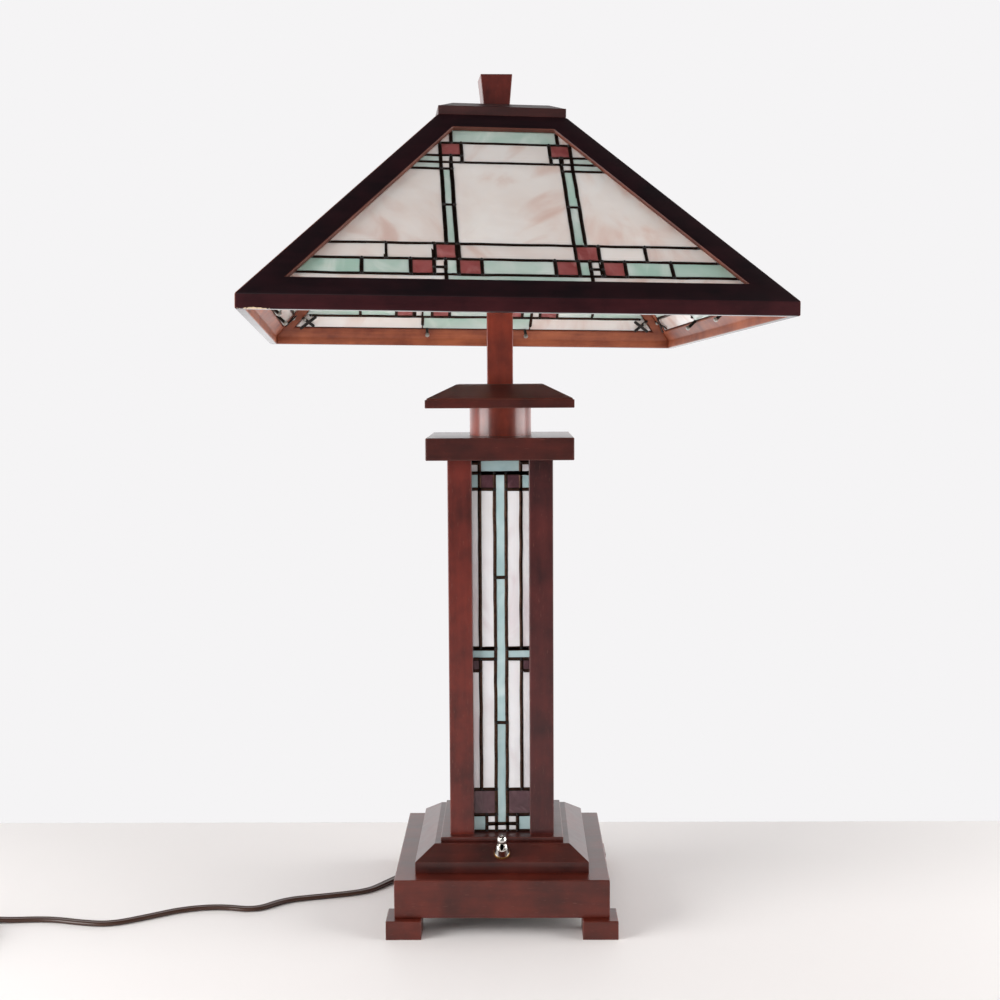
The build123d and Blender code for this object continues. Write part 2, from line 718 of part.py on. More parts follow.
# ---------------------------------------------------------------- supply cord
def strain_relief():
    """Elbow bushing under the cover: a neck up through it and a tapered snout."""
    x, y = RELIEF_CENTRE
    cover = FOOT_HEIGHT + COVER_RECESS
    neck = rod(RELIEF_NECK_RADIUS, cover, cover + COVER_THICKNESS + RELIEF_NECK_END)
    block = Box(RELIEF_LENGTH, RELIEF_WIDTH, cover - RELIEF_FLOOR_GAP)
    block = Pos(0, 0, (cover + RELIEF_FLOOR_GAP) / 2) * fillet(block.edges().filter_by(Axis.Z), 2)
    root = Plane(origin=(x - RELIEF_LENGTH / 2, y, 8.5), x_dir=(0, 1, 0), z_dir=(-1, 0, 0))
    tip = Plane(origin=CORD_ROUTE[0], x_dir=(0, 1, 0), z_dir=(-1, 0, 0))
    snout = loft([root * Rectangle(12, 10), tip * Rectangle(9, 6)])
    return Pos(x, y, 0) * (neck + block) + snout


def bend_radii(points):
    """The radius at each inner point: 0.45 of the shorter run over the half turn's tangent."""
    radii = []
    for before, here, after in zip(points, points[1:], points[2:]):
        first = Vector(*here) - Vector(*before)
        second = Vector(*after) - Vector(*here)
        half_turn = math.radians(first.get_angle(second)) / 2
        radii.append(0.45 * min(first.length, second.length) / math.tan(half_turn))
    return radii


def cord_run(points):
    """A flat twin cord along straight runs joined by tangent arcs."""
    radii = bend_radii(points)
    print("cord radii", [round(radius, 1) for radius in radii])
    path = FilletPolyline(*points, radius=radii)
    heading = Vector(*points[1]) - Vector(*points[0])
    across = Vector(0, 0, 1).cross(heading)
    start = Plane(origin=points[0], x_dir=across, z_dir=heading)
    section = SlotOverall(CORD_WIDTH, CORD_THICKNESS)
    run = sweep(start * section, path=path)
    ratio = run.volume / (section.area * path.length)
    print("cord length", round(path.length, 1), "volume ratio", round(ratio, 4))
    return run


def power_cord():
    return Compound(children=[cord_run(CORD_ROUTE), cord_run(CORD_TAIL)])


def cord_coil():
    x, y = COIL_CENTRE
    ring = rod(COIL_OUTER_RADIUS, COIL_BOTTOM, COIL_TOP) - rod(COIL_INNER_RADIUS, 0, 2 * COIL_TOP)
    return Pos(x, y, 0) * fillet(ring.edges(), COIL_EDGE)


def cord_tie():
    x, y = COIL_CENTRE
    middle = (COIL_OUTER_RADIUS + COIL_INNER_RADIUS) / 2
    width = COIL_OUTER_RADIUS - COIL_INNER_RADIUS + 2 * TIE_PLAY
    height = COIL_TOP - COIL_BOTTOM
    outer = Box(width + 2 * TIE_THICKNESS, TIE_WIDTH, height + 2 * TIE_THICKNESS)
    loop = Pos(middle, 0, height / 2 + TIE_THICKNESS) * (outer - Box(width, TIE_WIDTH, height))
    return Pos(x, y, 0) * Rot(0, 0, TIE_ANGLE) * loop


def plug_frame():
    """The plug's frame: its origin where the cord enters, +X towards the blades."""
    x, y, z = CORD_TAIL[-1]
    heading = math.degrees(math.atan2(PLUG_HEADING[1], PLUG_HEADING[0]))
    return Location((x, y, z), (0, 0, heading))


def plug_body():
    entry = Plane(origin=(0, 0, 0), x_dir=(0, 1, 0), z_dir=(1, 0, 0))
    back = entry * RectangleRounded(10, 8, 1.5)
    front = entry.offset(PLUG_TAPER) * RectangleRounded(PLUG_WIDTH, PLUG_HEIGHT, 2.5)
    body = loft([back, front])
    body += extrude(front, PLUG_LENGTH - PLUG_TAPER)
    return plug_frame() * body


def plug_blades():
    blade = Box(BLADE_LENGTH, BLADE_THICKNESS, BLADE_WIDTH)
    x = PLUG_LENGTH + BLADE_LENGTH / 2
    pair = [Pos(x, y, 0) * blade for y in (-BLADE_SPACING / 2, BLADE_SPACING / 2)]
    return plug_frame() * Compound(children=pair)


def inner_wiring():
    """Twin leads from the strain relief to the switch, and from there to the pipe."""
    x, y = RELIEF_CENTRE
    terminals = switch_frame() * Pos(0, 0, -SWITCH_SKIN - SWITCH_BODY[2] - 7)
    end = terminals.position
    relief_top = FOOT_HEIGHT + COVER_RECESS + COVER_THICKNESS + RELIEF_NECK_END
    run = relief_top + 5.5
    below_pipe = PIPE_BOTTOM - 3.6
    to_switch = [
        (x, y, relief_top),
        (x, y, run),
        (x - 14, y - 30, run),
        (-22, -18, run),
        (-5, end.Y, end.Z),
    ]
    to_pipe = [
        (5, end.Y, end.Z),
        (9, -26, run - 3),
        (4, -10, below_pipe),
        (0, 0, below_pipe),
        (0, 0, PIPE_BOTTOM + 8),
    ]
    leads = []
    for route in (to_switch, to_pipe):
        path = FilletPolyline(*route, radius=LEAD_BEND)
        heading = Vector(*route[1]) - Vector(*route[0])
        leads.append(sweep(Plane(origin=route[0], z_dir=heading) * Circle(LEAD_RADIUS), path=path))
    return leads


# ---------------------------------------------------------------- write the parts
SINGLE_PIECES = [
    base_slab,
    base_bottom_cover,
    base_cover_screws,
    step_block,
    column_base_plate,
    column_cap,
    collar,
    canopy_plate,
    stem,
    centre_pipe,
    lock_nuts_and_washers,
    cluster_body,
    night_light_socket,
    night_light_bulb,
    riser_rod,
    finial,
    switch_body,
    switch_dress_nut,
    switch_lever,
    strain_relief,
    power_cord,
    cord_coil,
    cord_tie,
    plug_body,
    plug_blades,
]


def all_parts():
    parts = {}
    for name, (x, y) in CORNERS.items():
        parts[f"foot_{name}"] = foot(x, y)
        parts[f"post_{name}"] = column_post(x, y)
    for piece in SINGLE_PIECES:
        parts[piece.__name__] = piece()
    for name, hand in (("left", -1), ("right", 1)):
        parts[f"lamp_socket_{name}"] = lamp_socket(hand)
        parts[f"bulb_{name}"] = bulb(hand)
    frame = shade_frame()
    shade_glass, shade_leading = shade_panel()
    column_glass, column_leading = column_panel()
    lamp_shade = shade_frame_location()
    for turns, side in enumerate(SIDES):
        parts[f"shade_frame_{side}"] = lamp_shade * quarter(frame, turns)
        parts[f"shade_glass_{side}"] = lamp_shade * quarter(shade_glass, turns)
        parts[f"shade_leading_{side}"] = lamp_shade * quarter(shade_leading, turns)
        parts[f"column_glass_{side}"] = quarter(column_glass, turns)
        parts[f"column_leading_{side}"] = quarter(column_leading, turns)
    parts["shade_top_cap"] = lamp_shade * shade_top_cap()
    parts["glass_retainers"] = lamp_shade * Compound(children=glass_retainers())
    parts["inner_wiring"] = Compound(children=inner_wiring())
    return parts


def write_parts(parts):
    os.makedirs("parts", exist_ok=True)
    for name, shape in parts.items():
        export_step(shape, f"parts/{name}.step")
    print(len(parts), "parts written")


write_parts(all_parts())
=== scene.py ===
"""The looks of a mission-style stained glass table lamp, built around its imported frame."""

import logging
import math
import random
from collections.abc import Iterator
from dataclasses import dataclass, field, replace
from enum import Enum

import bmesh
import bpy
from mathutils import Matrix, Vector


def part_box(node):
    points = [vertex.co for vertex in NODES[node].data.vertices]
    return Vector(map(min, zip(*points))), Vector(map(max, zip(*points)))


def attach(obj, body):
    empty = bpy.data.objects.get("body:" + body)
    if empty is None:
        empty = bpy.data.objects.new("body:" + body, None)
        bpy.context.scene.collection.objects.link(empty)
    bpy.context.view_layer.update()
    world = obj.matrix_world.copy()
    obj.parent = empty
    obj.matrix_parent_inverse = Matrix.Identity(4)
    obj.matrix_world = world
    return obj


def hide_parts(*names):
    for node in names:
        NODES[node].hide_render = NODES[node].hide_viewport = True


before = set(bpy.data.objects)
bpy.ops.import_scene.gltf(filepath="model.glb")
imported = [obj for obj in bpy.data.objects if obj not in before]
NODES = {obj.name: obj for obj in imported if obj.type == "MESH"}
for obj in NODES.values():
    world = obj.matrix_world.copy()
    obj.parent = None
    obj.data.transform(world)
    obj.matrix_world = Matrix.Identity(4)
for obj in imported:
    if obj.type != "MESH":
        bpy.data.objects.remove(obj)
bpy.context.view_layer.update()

MM = 0.001
SIDES = ("front", "right", "back", "left")
CORNERS = ("front_left", "front_right", "back_right", "back_left")
LOG = logging.getLogger("lamp")


# ------------------------------------------------------------------ small helpers
def linear(code: str) -> tuple[float, float, float, float]:
    """An sRGB hex colour as linear light.

    Args:
        code: Six hex digits after a hash.

    Returns:
        Red, green, blue and an alpha of one.
    """
    parts = [int(code[i : i + 2], 16) / 255 for i in (1, 3, 5)]
    red, green, blue = [p / 12.92 if p <= 0.04045 else ((p + 0.055) / 1.055) ** 2.4 for p in parts]
    return red, green, blue, 1.0


def add(tree: bpy.types.NodeTree, kind: str, sockets: dict | None = None, **settings) -> bpy.types.Node:
    """Adds one node.

    Args:
        tree: The node tree it goes in.
        kind: The node's type.
        sockets: Each input's name or number, with its value or the output that feeds it.
        settings: The node's own properties.

    Returns:
        The new node.
    """
    node = tree.nodes.new(kind)
    for key, value in settings.items():
        setattr(node, key, value)
    for key, value in (sockets or {}).items():
        if isinstance(value, bpy.types.NodeSocket):
            tree.links.new(value, node.inputs[key])
        else:
            node.inputs[key].default_value = value
    return node


def link_object(name: str, mesh: bpy.types.Mesh) -> bpy.types.Object:
    """A new object at the origin, holding a mesh and standing in the scene."""
    piece = bpy.data.objects.new(name, mesh)
    bpy.context.scene.collection.objects.link(piece)
    return piece


def mesh_from(name: str, points: list, faces: list, edges: list = ()) -> bpy.types.Mesh:
    """A mesh from its points, faces and loose edges."""
    mesh = bpy.data.meshes.new(name)
    mesh.from_pydata(points, list(edges), faces)
    mesh.update()
    return mesh


def plain_copy(piece: bpy.types.Object) -> bpy.types.Mesh:
    """The mesh that an object's modifiers make."""
    depsgraph = bpy.context.evaluated_depsgraph_get()
    return bpy.data.meshes.new_from_object(piece.evaluated_get(depsgraph))


def settle(piece: bpy.types.Object) -> None:
    """Bakes an object's modifiers into its mesh and clears them."""
    mesh = plain_copy(piece)
    piece.modifiers.clear()
    piece.data = mesh


# ------------------------------------------------------------------ finishes
@dataclass(frozen=True)
class Finish:
    """A surface finish that makes its own material."""

    name: str

    def start(self) -> tuple[bpy.types.Material, bpy.types.NodeTree, bpy.types.Node]:
        """A new material with its node tree and its empty shader."""
        material = bpy.data.materials.new(self.name)
        material.use_nodes = True
        tree = material.node_tree
        return material, tree, tree.nodes["Principled BSDF"]

    def make(self) -> bpy.types.Material:
        """The finished material, which each kind of finish makes in its own way."""
        raise NotImplementedError


class Grain(Enum):
    """Which way the wood's grain runs, as the squeeze of the pattern along each axis."""

    ACROSS = (0.12, 1.0, 1.0)
    UPRIGHT = (1.0, 1.0, 0.12)


@dataclass(frozen=True)
class LacqueredMahogany(Finish):
    """Red-stained mahogany under sprayed satin lacquer.

    The toned lacquer hides most of the grain: the eye gets a deep cloudy red-brown, short pore
    marks that catch the light, and a soft shine that turns pale at a grazing angle.
    """

    grain: Grain = Grain.UPRIGHT
    turn: tuple[float, float, float] = (0.0, 0.0, 0.0)
    light: str = "#68241a"
    dark: str = "#3d120e"
    cloud_mm: float = 26.0
    streak_mm: float = 5.0
    pore_mm: float = 0.7
    pore_show: float = 0.3
    gloss: float = 0.36
    coat: float = 0.25
    ior: float = 1.4
    # The edges are painted lighter all round: a painted highlight for the light that eased edges catch,
    # with some wear of the stain.
    edge_highlight_mm: float = 1.1
    edge_highlight: str = "#80402e"
    raw: str = "#cdb596"
    chipped: Matrix | None = None
    chip_run: float = 23.0
    chip_reach: float = 2.0

    def paint_edge_highlight(self, tree: bpy.types.NodeTree, colour: bpy.types.NodeSocket) -> bpy.types.NodeSocket:
        """Lightens the stain along every edge: a painted highlight where the eased edges catch the light,
        and some wear where sanding has thinned the stain.

        Args:
            tree: The material's node tree.
            colour: The stain's colour.

        Returns:
            The colour with its edges painted lighter.
        """
        rounded = add(tree, "ShaderNodeBevel", {"Radius": self.edge_highlight_mm * MM}, samples=4)
        flat = add(tree, "ShaderNodeNewGeometry").outputs["Normal"]
        likeness = add(
            tree, "ShaderNodeVectorMath", {0: rounded.outputs[0], 1: flat}, operation="DOT_PRODUCT"
        )
        worn = add(
            tree,
            "ShaderNodeMapRange",
            {"Value": likeness.outputs["Value"], "From Min": 0.99, "From Max": 0.82, "To Max": 0.6},
        )
        return add(
            tree,
            "ShaderNodeMix",
            {0: worn.outputs[0], 6: colour, 7: linear(self.edge_highlight)},
            data_type="RGBA",
        ).outputs[2]

    def chip(
        self, tree: bpy.types.NodeTree, place: bpy.types.NodeSocket, colour: bpy.types.NodeSocket
    ) -> bpy.types.NodeSocket:
        """Shows bare wood in a short row of small chips along one edge.

        Args:
            tree: The material's node tree.
            place: The point of the piece that is being coloured.
            colour: The stain's colour.

        Returns:
            The colour with the chips.
        """
        spot, turn, _ = self.chipped.decompose()
        near = add(
            tree,
            "ShaderNodeMapping",
            {
                "Vector": place,
                "Location": spot,
                "Rotation": turn.to_euler(),
                "Scale": (self.chip_run * MM, self.chip_reach * MM, self.chip_reach * MM),
            },
            vector_type="TEXTURE",
        )
        reach = add(tree, "ShaderNodeTexGradient", {"Vector": near.outputs[0]}, gradient_type="SPHERICAL")
        splinter = add(tree, "ShaderNodeTexNoise", {"Vector": place, "Scale": 520.0, "Detail": 3.0})
        ragged = add(
            tree,
            "ShaderNodeMath",
            {0: reach.outputs["Fac"], 1: 0.9, 2: splinter.outputs[0]},
            operation="MULTIPLY_ADD",
        )
        bare = add(
            tree, "ShaderNodeMapRange", {"Value": ragged.outputs[0], "From Min": 1.0, "From Max": 1.04}
        )
        return add(
            tree,
            "ShaderNodeMix",
            {0: bare.outputs[0], 6: colour, 7: linear(self.raw)},
            data_type="RGBA",
        ).outputs[2]

    def make(self) -> bpy.types.Material:
        """Makes the material.

        Returns:
            The finished material.
        """
        material, tree, shader = self.start()
        place = add(tree, "ShaderNodeTexCoord").outputs["Object"]
        turned = add(tree, "ShaderNodeMapping", {"Vector": place, "Rotation": self.turn}).outputs[0]
        along = add(tree, "ShaderNodeMapping", {"Vector": turned, "Scale": self.grain.value}).outputs[0]
        cloud = add(
            tree,
            "ShaderNodeTexNoise",
            {"Vector": turned, "Scale": 1 / (self.cloud_mm * MM), "Detail": 4.0, "Roughness": 0.55},
        )
        streak = add(
            tree,
            "ShaderNodeTexNoise",
            {"Vector": along, "Scale": 1 / (self.streak_mm * MM), "Detail": 4.0, "Distortion": 0.5},
        )
        pore = add(
            tree, "ShaderNodeTexNoise", {"Vector": along, "Scale": 1 / (self.pore_mm * MM), "Detail": 1.0}
        )
        blend = add(
            tree,
            "ShaderNodeMix",
            {0: 0.28, 2: cloud.outputs[0], 3: streak.outputs[0]},
            data_type="FLOAT",
        )
        tone = add(
            tree, "ShaderNodeMapRange", {"Value": blend.outputs[0], "From Min": 0.34, "From Max": 0.66}
        )
        colour = add(
            tree,
            "ShaderNodeMix",
            {0: tone.outputs[0], 6: linear(self.dark), 7: linear(self.light)},
            data_type="RGBA",
        )
        # Open pores are about 0.2 mm wide; they are drawn coarser, so that they show.
        mark = add(
            tree,
            "ShaderNodeMapRange",
            {"Value": pore.outputs[0], "From Min": 0.68, "From Max": 0.8, "To Max": self.pore_show},
        )
        marked = add(
            tree,
            "ShaderNodeMix",
            {0: mark.outputs[0], 6: colour.outputs[2], 7: linear("#7d5148")},
            data_type="RGBA",
        )
        shine = add(
            tree,
            "ShaderNodeMapRange",
            {"Value": streak.outputs[0], "To Min": self.gloss - 0.05, "To Max": self.gloss + 0.07},
        )
        peel = add(tree, "ShaderNodeTexNoise", {"Vector": place, "Scale": 300.0, "Detail": 2.0})
        skin = add(
            tree,
            "ShaderNodeMath",
            {0: mark.outputs[0], 1: -0.6, 2: peel.outputs[0]},
            operation="MULTIPLY_ADD",
        )
        bump = add(
            tree, "ShaderNodeBump", {"Height": skin.outputs[0], "Strength": 0.12, "Distance": 0.2 * MM}
        )
        # Painted highlight: every edge is painted lighter, as if it caught the light.
        stained = self.paint_edge_highlight(tree, marked.outputs[2])
        if self.chipped is not None:
            stained = self.chip(tree, place, stained)
        tree.links.new(stained, shader.inputs["Base Color"])
        tree.links.new(shine.outputs[0], shader.inputs["Roughness"])
        tree.links.new(bump.outputs[0], shader.inputs["Normal"])
        shader.inputs["Coat Weight"].default_value = self.coat
        shader.inputs["Coat Roughness"].default_value = 0.2
        shader.inputs["IOR"].default_value = self.ior
        return material


@dataclass(frozen=True)
class OpalescentGlass(Finish):
    """Rolled opalescent sheet glass: faint wisps of a second colour drift through a milky body.

    Light soaks into the sheet and comes out on both sides, so it glows a little against the dark
    wood. The rolled face is gently wavy and breaks up the shine.
    """

    body: str = "#eae1dc"
    wisp: str = "#d9bbb0"
    deep: str = "#f1ebe7"
    wisp_mm: float = 30.0
    strength: float = 0.75
    ripple_mm: float = 9.0
    milkiness: float = 0.9
    soak_mm: float = 4.0

    def make(self) -> bpy.types.Material:
        """Makes the material.

        Returns:
            The finished material, whose pattern follows each piece's own cut of the sheet.
        """
        material, tree, shader = self.start()
        cut = add(tree, "ShaderNodeAttribute", attribute_name="sheet_place").outputs["Vector"]
        tint = add(tree, "ShaderNodeAttribute", attribute_name="sheet_tint").outputs["Fac"]
        drawn = add(tree, "ShaderNodeMapping", {"Vector": cut, "Scale": (1.0, 0.45, 1.0)}).outputs[0]
        swirl = add(
            tree,
            "ShaderNodeTexNoise",
            {
                "Vector": drawn,
                "Scale": 1 / (self.wisp_mm * MM),
                "Detail": 4.0,
                "Roughness": 0.48,
                "Distortion": 0.9,
            },
        )
        cloud = add(
            tree,
            "ShaderNodeTexNoise",
            {"Vector": cut, "Scale": 0.6 / (self.wisp_mm * MM), "Detail": 3.0, "Distortion": 0.5},
        )
        wisps = add(
            tree,
            "ShaderNodeMapRange",
            {"Value": swirl.outputs[0], "From Min": 0.48, "From Max": 0.76, "To Max": self.strength},
            interpolation_type="SMOOTHSTEP",
        )
        clouds = add(
            tree, "ShaderNodeMapRange", {"Value": cloud.outputs[0], "From Min": 0.38, "From Max": 0.66}
        )
        milky = add(
            tree,
            "ShaderNodeMix",
            {0: clouds.outputs[0], 6: linear(self.body), 7: linear(self.deep)},
            data_type="RGBA",
        )
        streaked = add(
            tree,
            "ShaderNodeMix",
            {0: wisps.outputs[0], 6: milky.outputs[2], 7: linear(self.wisp)},
            data_type="RGBA",
        )
        batch = add(tree, "ShaderNodeMapRange", {"Value": tint, "To Min": 0.9, "To Max": 1.04})
        colour = add(
            tree,
            "ShaderNodeVectorMath",
            {0: streaked.outputs[2], "Scale": batch.outputs[0]},
            operation="SCALE",
        )
        ripple = add(
            tree,
            "ShaderNodeTexNoise",
            {"Vector": cut, "Scale": 1 / (self.ripple_mm * MM), "Detail": 1.0, "Distortion": 0.4},
        )
        bump = add(
            tree, "ShaderNodeBump", {"Height": ripple.outputs[0], "Strength": 0.3, "Distance": 0.5 * MM}
        )
        tree.links.new(colour.outputs[0], shader.inputs["Base Color"])
        tree.links.new(bump.outputs[0], shader.inputs["Normal"])
        shader.inputs["Roughness"].default_value = 0.18
        shader.inputs["IOR"].default_value = 1.52
        shader.inputs["Subsurface Weight"].default_value = self.milkiness
        shader.inputs["Subsurface Radius"].default_value = (1.0, 0.92, 0.88)
        shader.inputs["Subsurface Scale"].default_value = self.soak_mm * MM
        return material


@dataclass(frozen=True)
class PatinatedSolder(Finish):
    """Tin-lead solder run over copper foil and blackened: dull, uneven, warm where it wears."""

    def make(self) -> bpy.types.Material:
        """Makes the material.

        Returns:
            The finished material.
        """
        material, tree, shader = self.start()
        place = add(tree, "ShaderNodeTexCoord").outputs["Object"]
        wear = add(tree, "ShaderNodeTexNoise", {"Vector": place, "Scale": 260.0, "Detail": 4.0})
        worn = add(
            tree, "ShaderNodeMapRange", {"Value": wear.outputs[0], "From Min": 0.54, "From Max": 0.78}
        )
        colour = add(
            tree,
            "ShaderNodeMix",
            {0: worn.outputs[0], 6: linear("#171210"), 7: linear("#4a3428")},
            data_type="RGBA",
        )
        gloss = add(tree, "ShaderNodeMapRange", {"Value": wear.outputs[0], "To Min": 0.32, "To Max": 0.56})
        lumps = add(tree, "ShaderNodeTexNoise", {"Vector": place, "Scale": 420.0, "Detail": 2.0})
        bump = add(
            tree, "ShaderNodeBump", {"Height": lumps.outputs[0], "Strength": 0.35, "Distance": 0.3 * MM}
        )
        tree.links.new(colour.outputs[2], shader.inputs["Base Color"])
        tree.links.new(gloss.outputs[0], shader.inputs["Roughness"])
        tree.links.new(bump.outputs[0], shader.inputs["Normal"])
        shader.inputs["Metallic"].default_value = 0.5
        return material


@dataclass(frozen=True)
class Metal(Finish):
    """A plain or plated metal, with a faint cloudiness and fine handling marks."""

    colour: str = "#c9c7c4"
    tarnish: str = "#a9a5a0"
    smooth: float = 0.12
    rough: float = 0.2

    def make(self) -> bpy.types.Material:
        """Makes the material.

        Returns:
            The finished material.
        """
        material, tree, shader = self.start()
        place = add(tree, "ShaderNodeTexCoord").outputs["Object"]
        cloud = add(tree, "ShaderNodeTexNoise", {"Vector": place, "Scale": 300.0, "Detail": 5.0})
        patches = add(
            tree, "ShaderNodeMapRange", {"Value": cloud.outputs[0], "From Min": 0.4, "From Max": 0.7}
        )
        colour = add(
            tree,
            "ShaderNodeMix",
            {0: patches.outputs[0], 6: linear(self.colour), 7: linear(self.tarnish)},
            data_type="RGBA",
        )
        gloss = add(
            tree,
            "ShaderNodeMapRange",
            {"Value": cloud.outputs[0], "To Min": self.smooth, "To Max": self.rough},
        )
        bump = add(
            tree, "ShaderNodeBump", {"Height": cloud.outputs[0], "Strength": 0.05, "Distance": 0.1 * MM}
        )
        tree.links.new(colour.outputs[2], shader.inputs["Base Color"])
        tree.links.new(gloss.outputs[0], shader.inputs["Roughness"])
        tree.links.new(bump.outputs[0], shader.inputs["Normal"])
        shader.inputs["Metallic"].default_value = 1.0
        return material


@dataclass(frozen=True)
class Moulding(Finish):
    """A moulded or pressed non-metal: vinyl, phenolic, hardboard or frosted bulb glass."""

    colour: str = "#2b1a12"
    fleck: str = "#3a251a"
    grit_mm: float = 0.8
    roughness: float = 0.4
    relief: float = 0.15
    milkiness: float = 0.0

    def make(self) -> bpy.types.Material:
        """Makes the material.

        Returns:
            The finished material.
        """
        material, tree, shader = self.start()
        place = add(tree, "ShaderNodeTexCoord").outputs["Object"]
        grit = add(
            tree, "ShaderNodeTexNoise", {"Vector": place, "Scale": 1 / (self.grit_mm * MM), "Detail": 3.0}
        )
        colour = add(
            tree,
            "ShaderNodeMix",
            {0: grit.outputs[0], 6: linear(self.colour), 7: linear(self.fleck)},
            data_type="RGBA",
        )
        gloss = add(
            tree,
            "ShaderNodeMapRange",
            {
                "Value": grit.outputs[0],
                "To Min": self.roughness - 0.06,
                "To Max": self.roughness + 0.06,
            },
        )
        bump = add(
            tree,
            "ShaderNodeBump",
            {"Height": grit.outputs[0], "Strength": self.relief, "Distance": 0.2 * MM},
        )
        tree.links.new(colour.outputs[2], shader.inputs["Base Color"])
        tree.links.new(gloss.outputs[0], shader.inputs["Roughness"])
        tree.links.new(bump.outputs[0], shader.inputs["Normal"])
        shader.inputs["Subsurface Weight"].default_value = self.milkiness
        shader.inputs["Subsurface Scale"].default_value = 2.0 * MM
        return material


class Glass(Enum):
    """The three colours of sheet glass, in the order of a panel's material slots."""

    WHITE = 0
    GREEN = 1
    RUBY = 2


@dataclass
class Finishes:
    """Every material of the lamp, made once."""

    # The shade's green and ruby are lighter than the sheets themselves, as painted light for what shines
    # through them from behind.
    glass: list[bpy.types.Material] = field(
        default_factory=lambda: [
            OpalescentGlass("white_opalescent_glass").make(),
            OpalescentGlass(
                "shade_sage_glass_painted_light",
                body="#d2ddd7",
                wisp="#ecefea",
                deep="#b5cfc3",
                wisp_mm=26.0,
            ).make(),
            OpalescentGlass(
                "shade_ruby_glass_painted_light",
                body="#a8615f",
                wisp="#bd807e",
                deep="#924c4b",
                wisp_mm=12.0,
            ).make(),
        ]
    )
    # The column's panes are the shade's three glasses again, painted darker and cooler as painted shade,
    # since no light comes through them from inside; the ruby is painted down to a dark plum.
    painted_shade_column_sheets: list[bpy.types.Material] = field(
        default_factory=lambda: [
            OpalescentGlass(
                "column_white_glass_painted_shade",
                body="#e5e2e3",
                wisp="#d3c3c7",
                deep="#eeecee",
                milkiness=0.5,
            ).make(),
            OpalescentGlass(
                "column_green_glass_painted_shade",
                body="#b4c9ca",
                wisp="#c6d5d5",
                deep="#9fb9bb",
                wisp_mm=18.0,
                milkiness=0.5,
            ).make(),
            OpalescentGlass(
                "column_ruby_glass_painted_shade",
                body="#54333a",
                wisp="#6a474e",
                deep="#43262d",
                wisp_mm=9.0,
                milkiness=0.2,
            ).make(),
        ]
    )
    copper: bpy.types.Material = field(
        default_factory=lambda: Metal("darkened_copper_foil", "#3f2d25", "#281e1a", 0.35, 0.55).make()
    )
    solder: bpy.types.Material = field(default_factory=lambda: PatinatedSolder("patinated_solder").make())
    chrome: bpy.types.Material = field(
        default_factory=lambda: Metal("polished_chrome_plate", "#dedcd8", "#c8c4bd", 0.05, 0.12).make()
    )
    brass: bpy.types.Material = field(
        default_factory=lambda: Metal("plain_brass", "#c49a52", "#8a6a38", 0.22, 0.38).make()
    )
    zinc: bpy.types.Material = field(
        default_factory=lambda: Metal("zinc_plated_steel", "#a8a6a0", "#82807a", 0.28, 0.45).make()
    )
    black_steel: bpy.types.Material = field(
        default_factory=lambda: Metal("blackened_steel", "#3a3735", "#24211f", 0.3, 0.5).make()
    )
    vinyl: bpy.types.Material = field(
        default_factory=lambda: Moulding("brown_vinyl", "#2c1810", "#45291b", 0.9, 0.34, 0.1).make()
    )
    phenolic: bpy.types.Material = field(
        default_factory=lambda: Moulding("black_phenolic", "#141211", "#1f1c1a", 1.2, 0.32, 0.08).make()
    )
    hardboard: bpy.types.Material = field(
        default_factory=lambda: Moulding("dark_hardboard", "#2f231b", "#45362b", 0.7, 0.8, 0.6).make()
    )
    frosted: bpy.types.Material = field(
        default_factory=lambda: Moulding(
            "frosted_bulb_glass", "#f0ede6", "#e9e5dc", 1.5, 0.42, 0.05, milkiness=0.3
        ).make()
    )

    @staticmethod
    def dress(node: str, material: bpy.types.Material) -> None:
        """Gives a CAD node's object one material."""
        mesh = NODES[node].data
        mesh.materials.clear()
        mesh.materials.append(material)


# ------------------------------------------------------------------ woodwork
@dataclass
class Woodwork:
    """The base, the column's wooden pieces, the canopy and the finial."""

    upright: tuple[str, ...] = ("finial", "post_front_left", "post_back_right")
    # Painted light: the stem and collar take a lighter copy of the upright stain, for the light they catch
    # under the shade and from both sides.
    painted_light_upright: tuple[str, ...] = ("stem", "collar")
    # Painted shade: these two posts take a darker copy of the upright stain, for the side that the light
    # reaches less.
    painted_shade_upright: tuple[str, ...] = ("post_front_right", "post_back_left")
    across: tuple[str, ...] = ("base_slab", *(f"foot_{corner}" for corner in CORNERS))
    # Painted shade: the step, the plates, the cap and the canopy take a darker copy of the across stain.
    painted_shade_across: tuple[str, ...] = ("step_block", "column_base_plate", "column_cap", "canopy_plate")

    thin_coat: float = 0.25
    full_coat: float = 0.6

    def dress(self) -> None:
        """Gives each wooden node a stain, a coat and a grain that runs its own way. The stem and collar get
        a lighter copy of the upright stain as painted light; two posts, the step, the plates, the cap and
        the canopy get darker copies as painted shade.
        """
        # The second value of each row starts the material's name: plain, painted light or painted shade.
        for names, depth, light, dark, grain, coat in (
            (self.upright, "", "#66231a", "#3d120e", Grain.UPRIGHT, self.thin_coat),
            (self.painted_light_upright, "painted_light_", "#8e3622", "#5c2014", Grain.UPRIGHT, self.full_coat),
            (self.painted_shade_upright, "painted_shade_", "#4c1b19", "#2b0d0f", Grain.UPRIGHT, self.thin_coat),
            (self.across, "", "#5c1f13", "#3a120b", Grain.ACROSS, self.thin_coat),
            (self.painted_shade_across, "painted_shade_", "#4b1a13", "#2b0e0b", Grain.ACROSS, self.thin_coat),
        ):
            name = f"{depth}mahogany_{grain.name.lower()}"
            finish = LacqueredMahogany(name, grain=grain, light=light, dark=dark, coat=coat).make()
            for node in names:
                Finishes.dress(node, finish)
        LOG.info("woodwork dressed")


# ------------------------------------------------------------------ leaded panels
@dataclass(frozen=True)
class Pane:
    """One piece of glass: from the centre line outwards, and up the panel, in millimetres.

    A piece with no outer edge runs out to the hip. One right of the centre repeats on the left.
    """

    glass: Glass
    inner: float
    outer: float | None
    low: float
    high: float


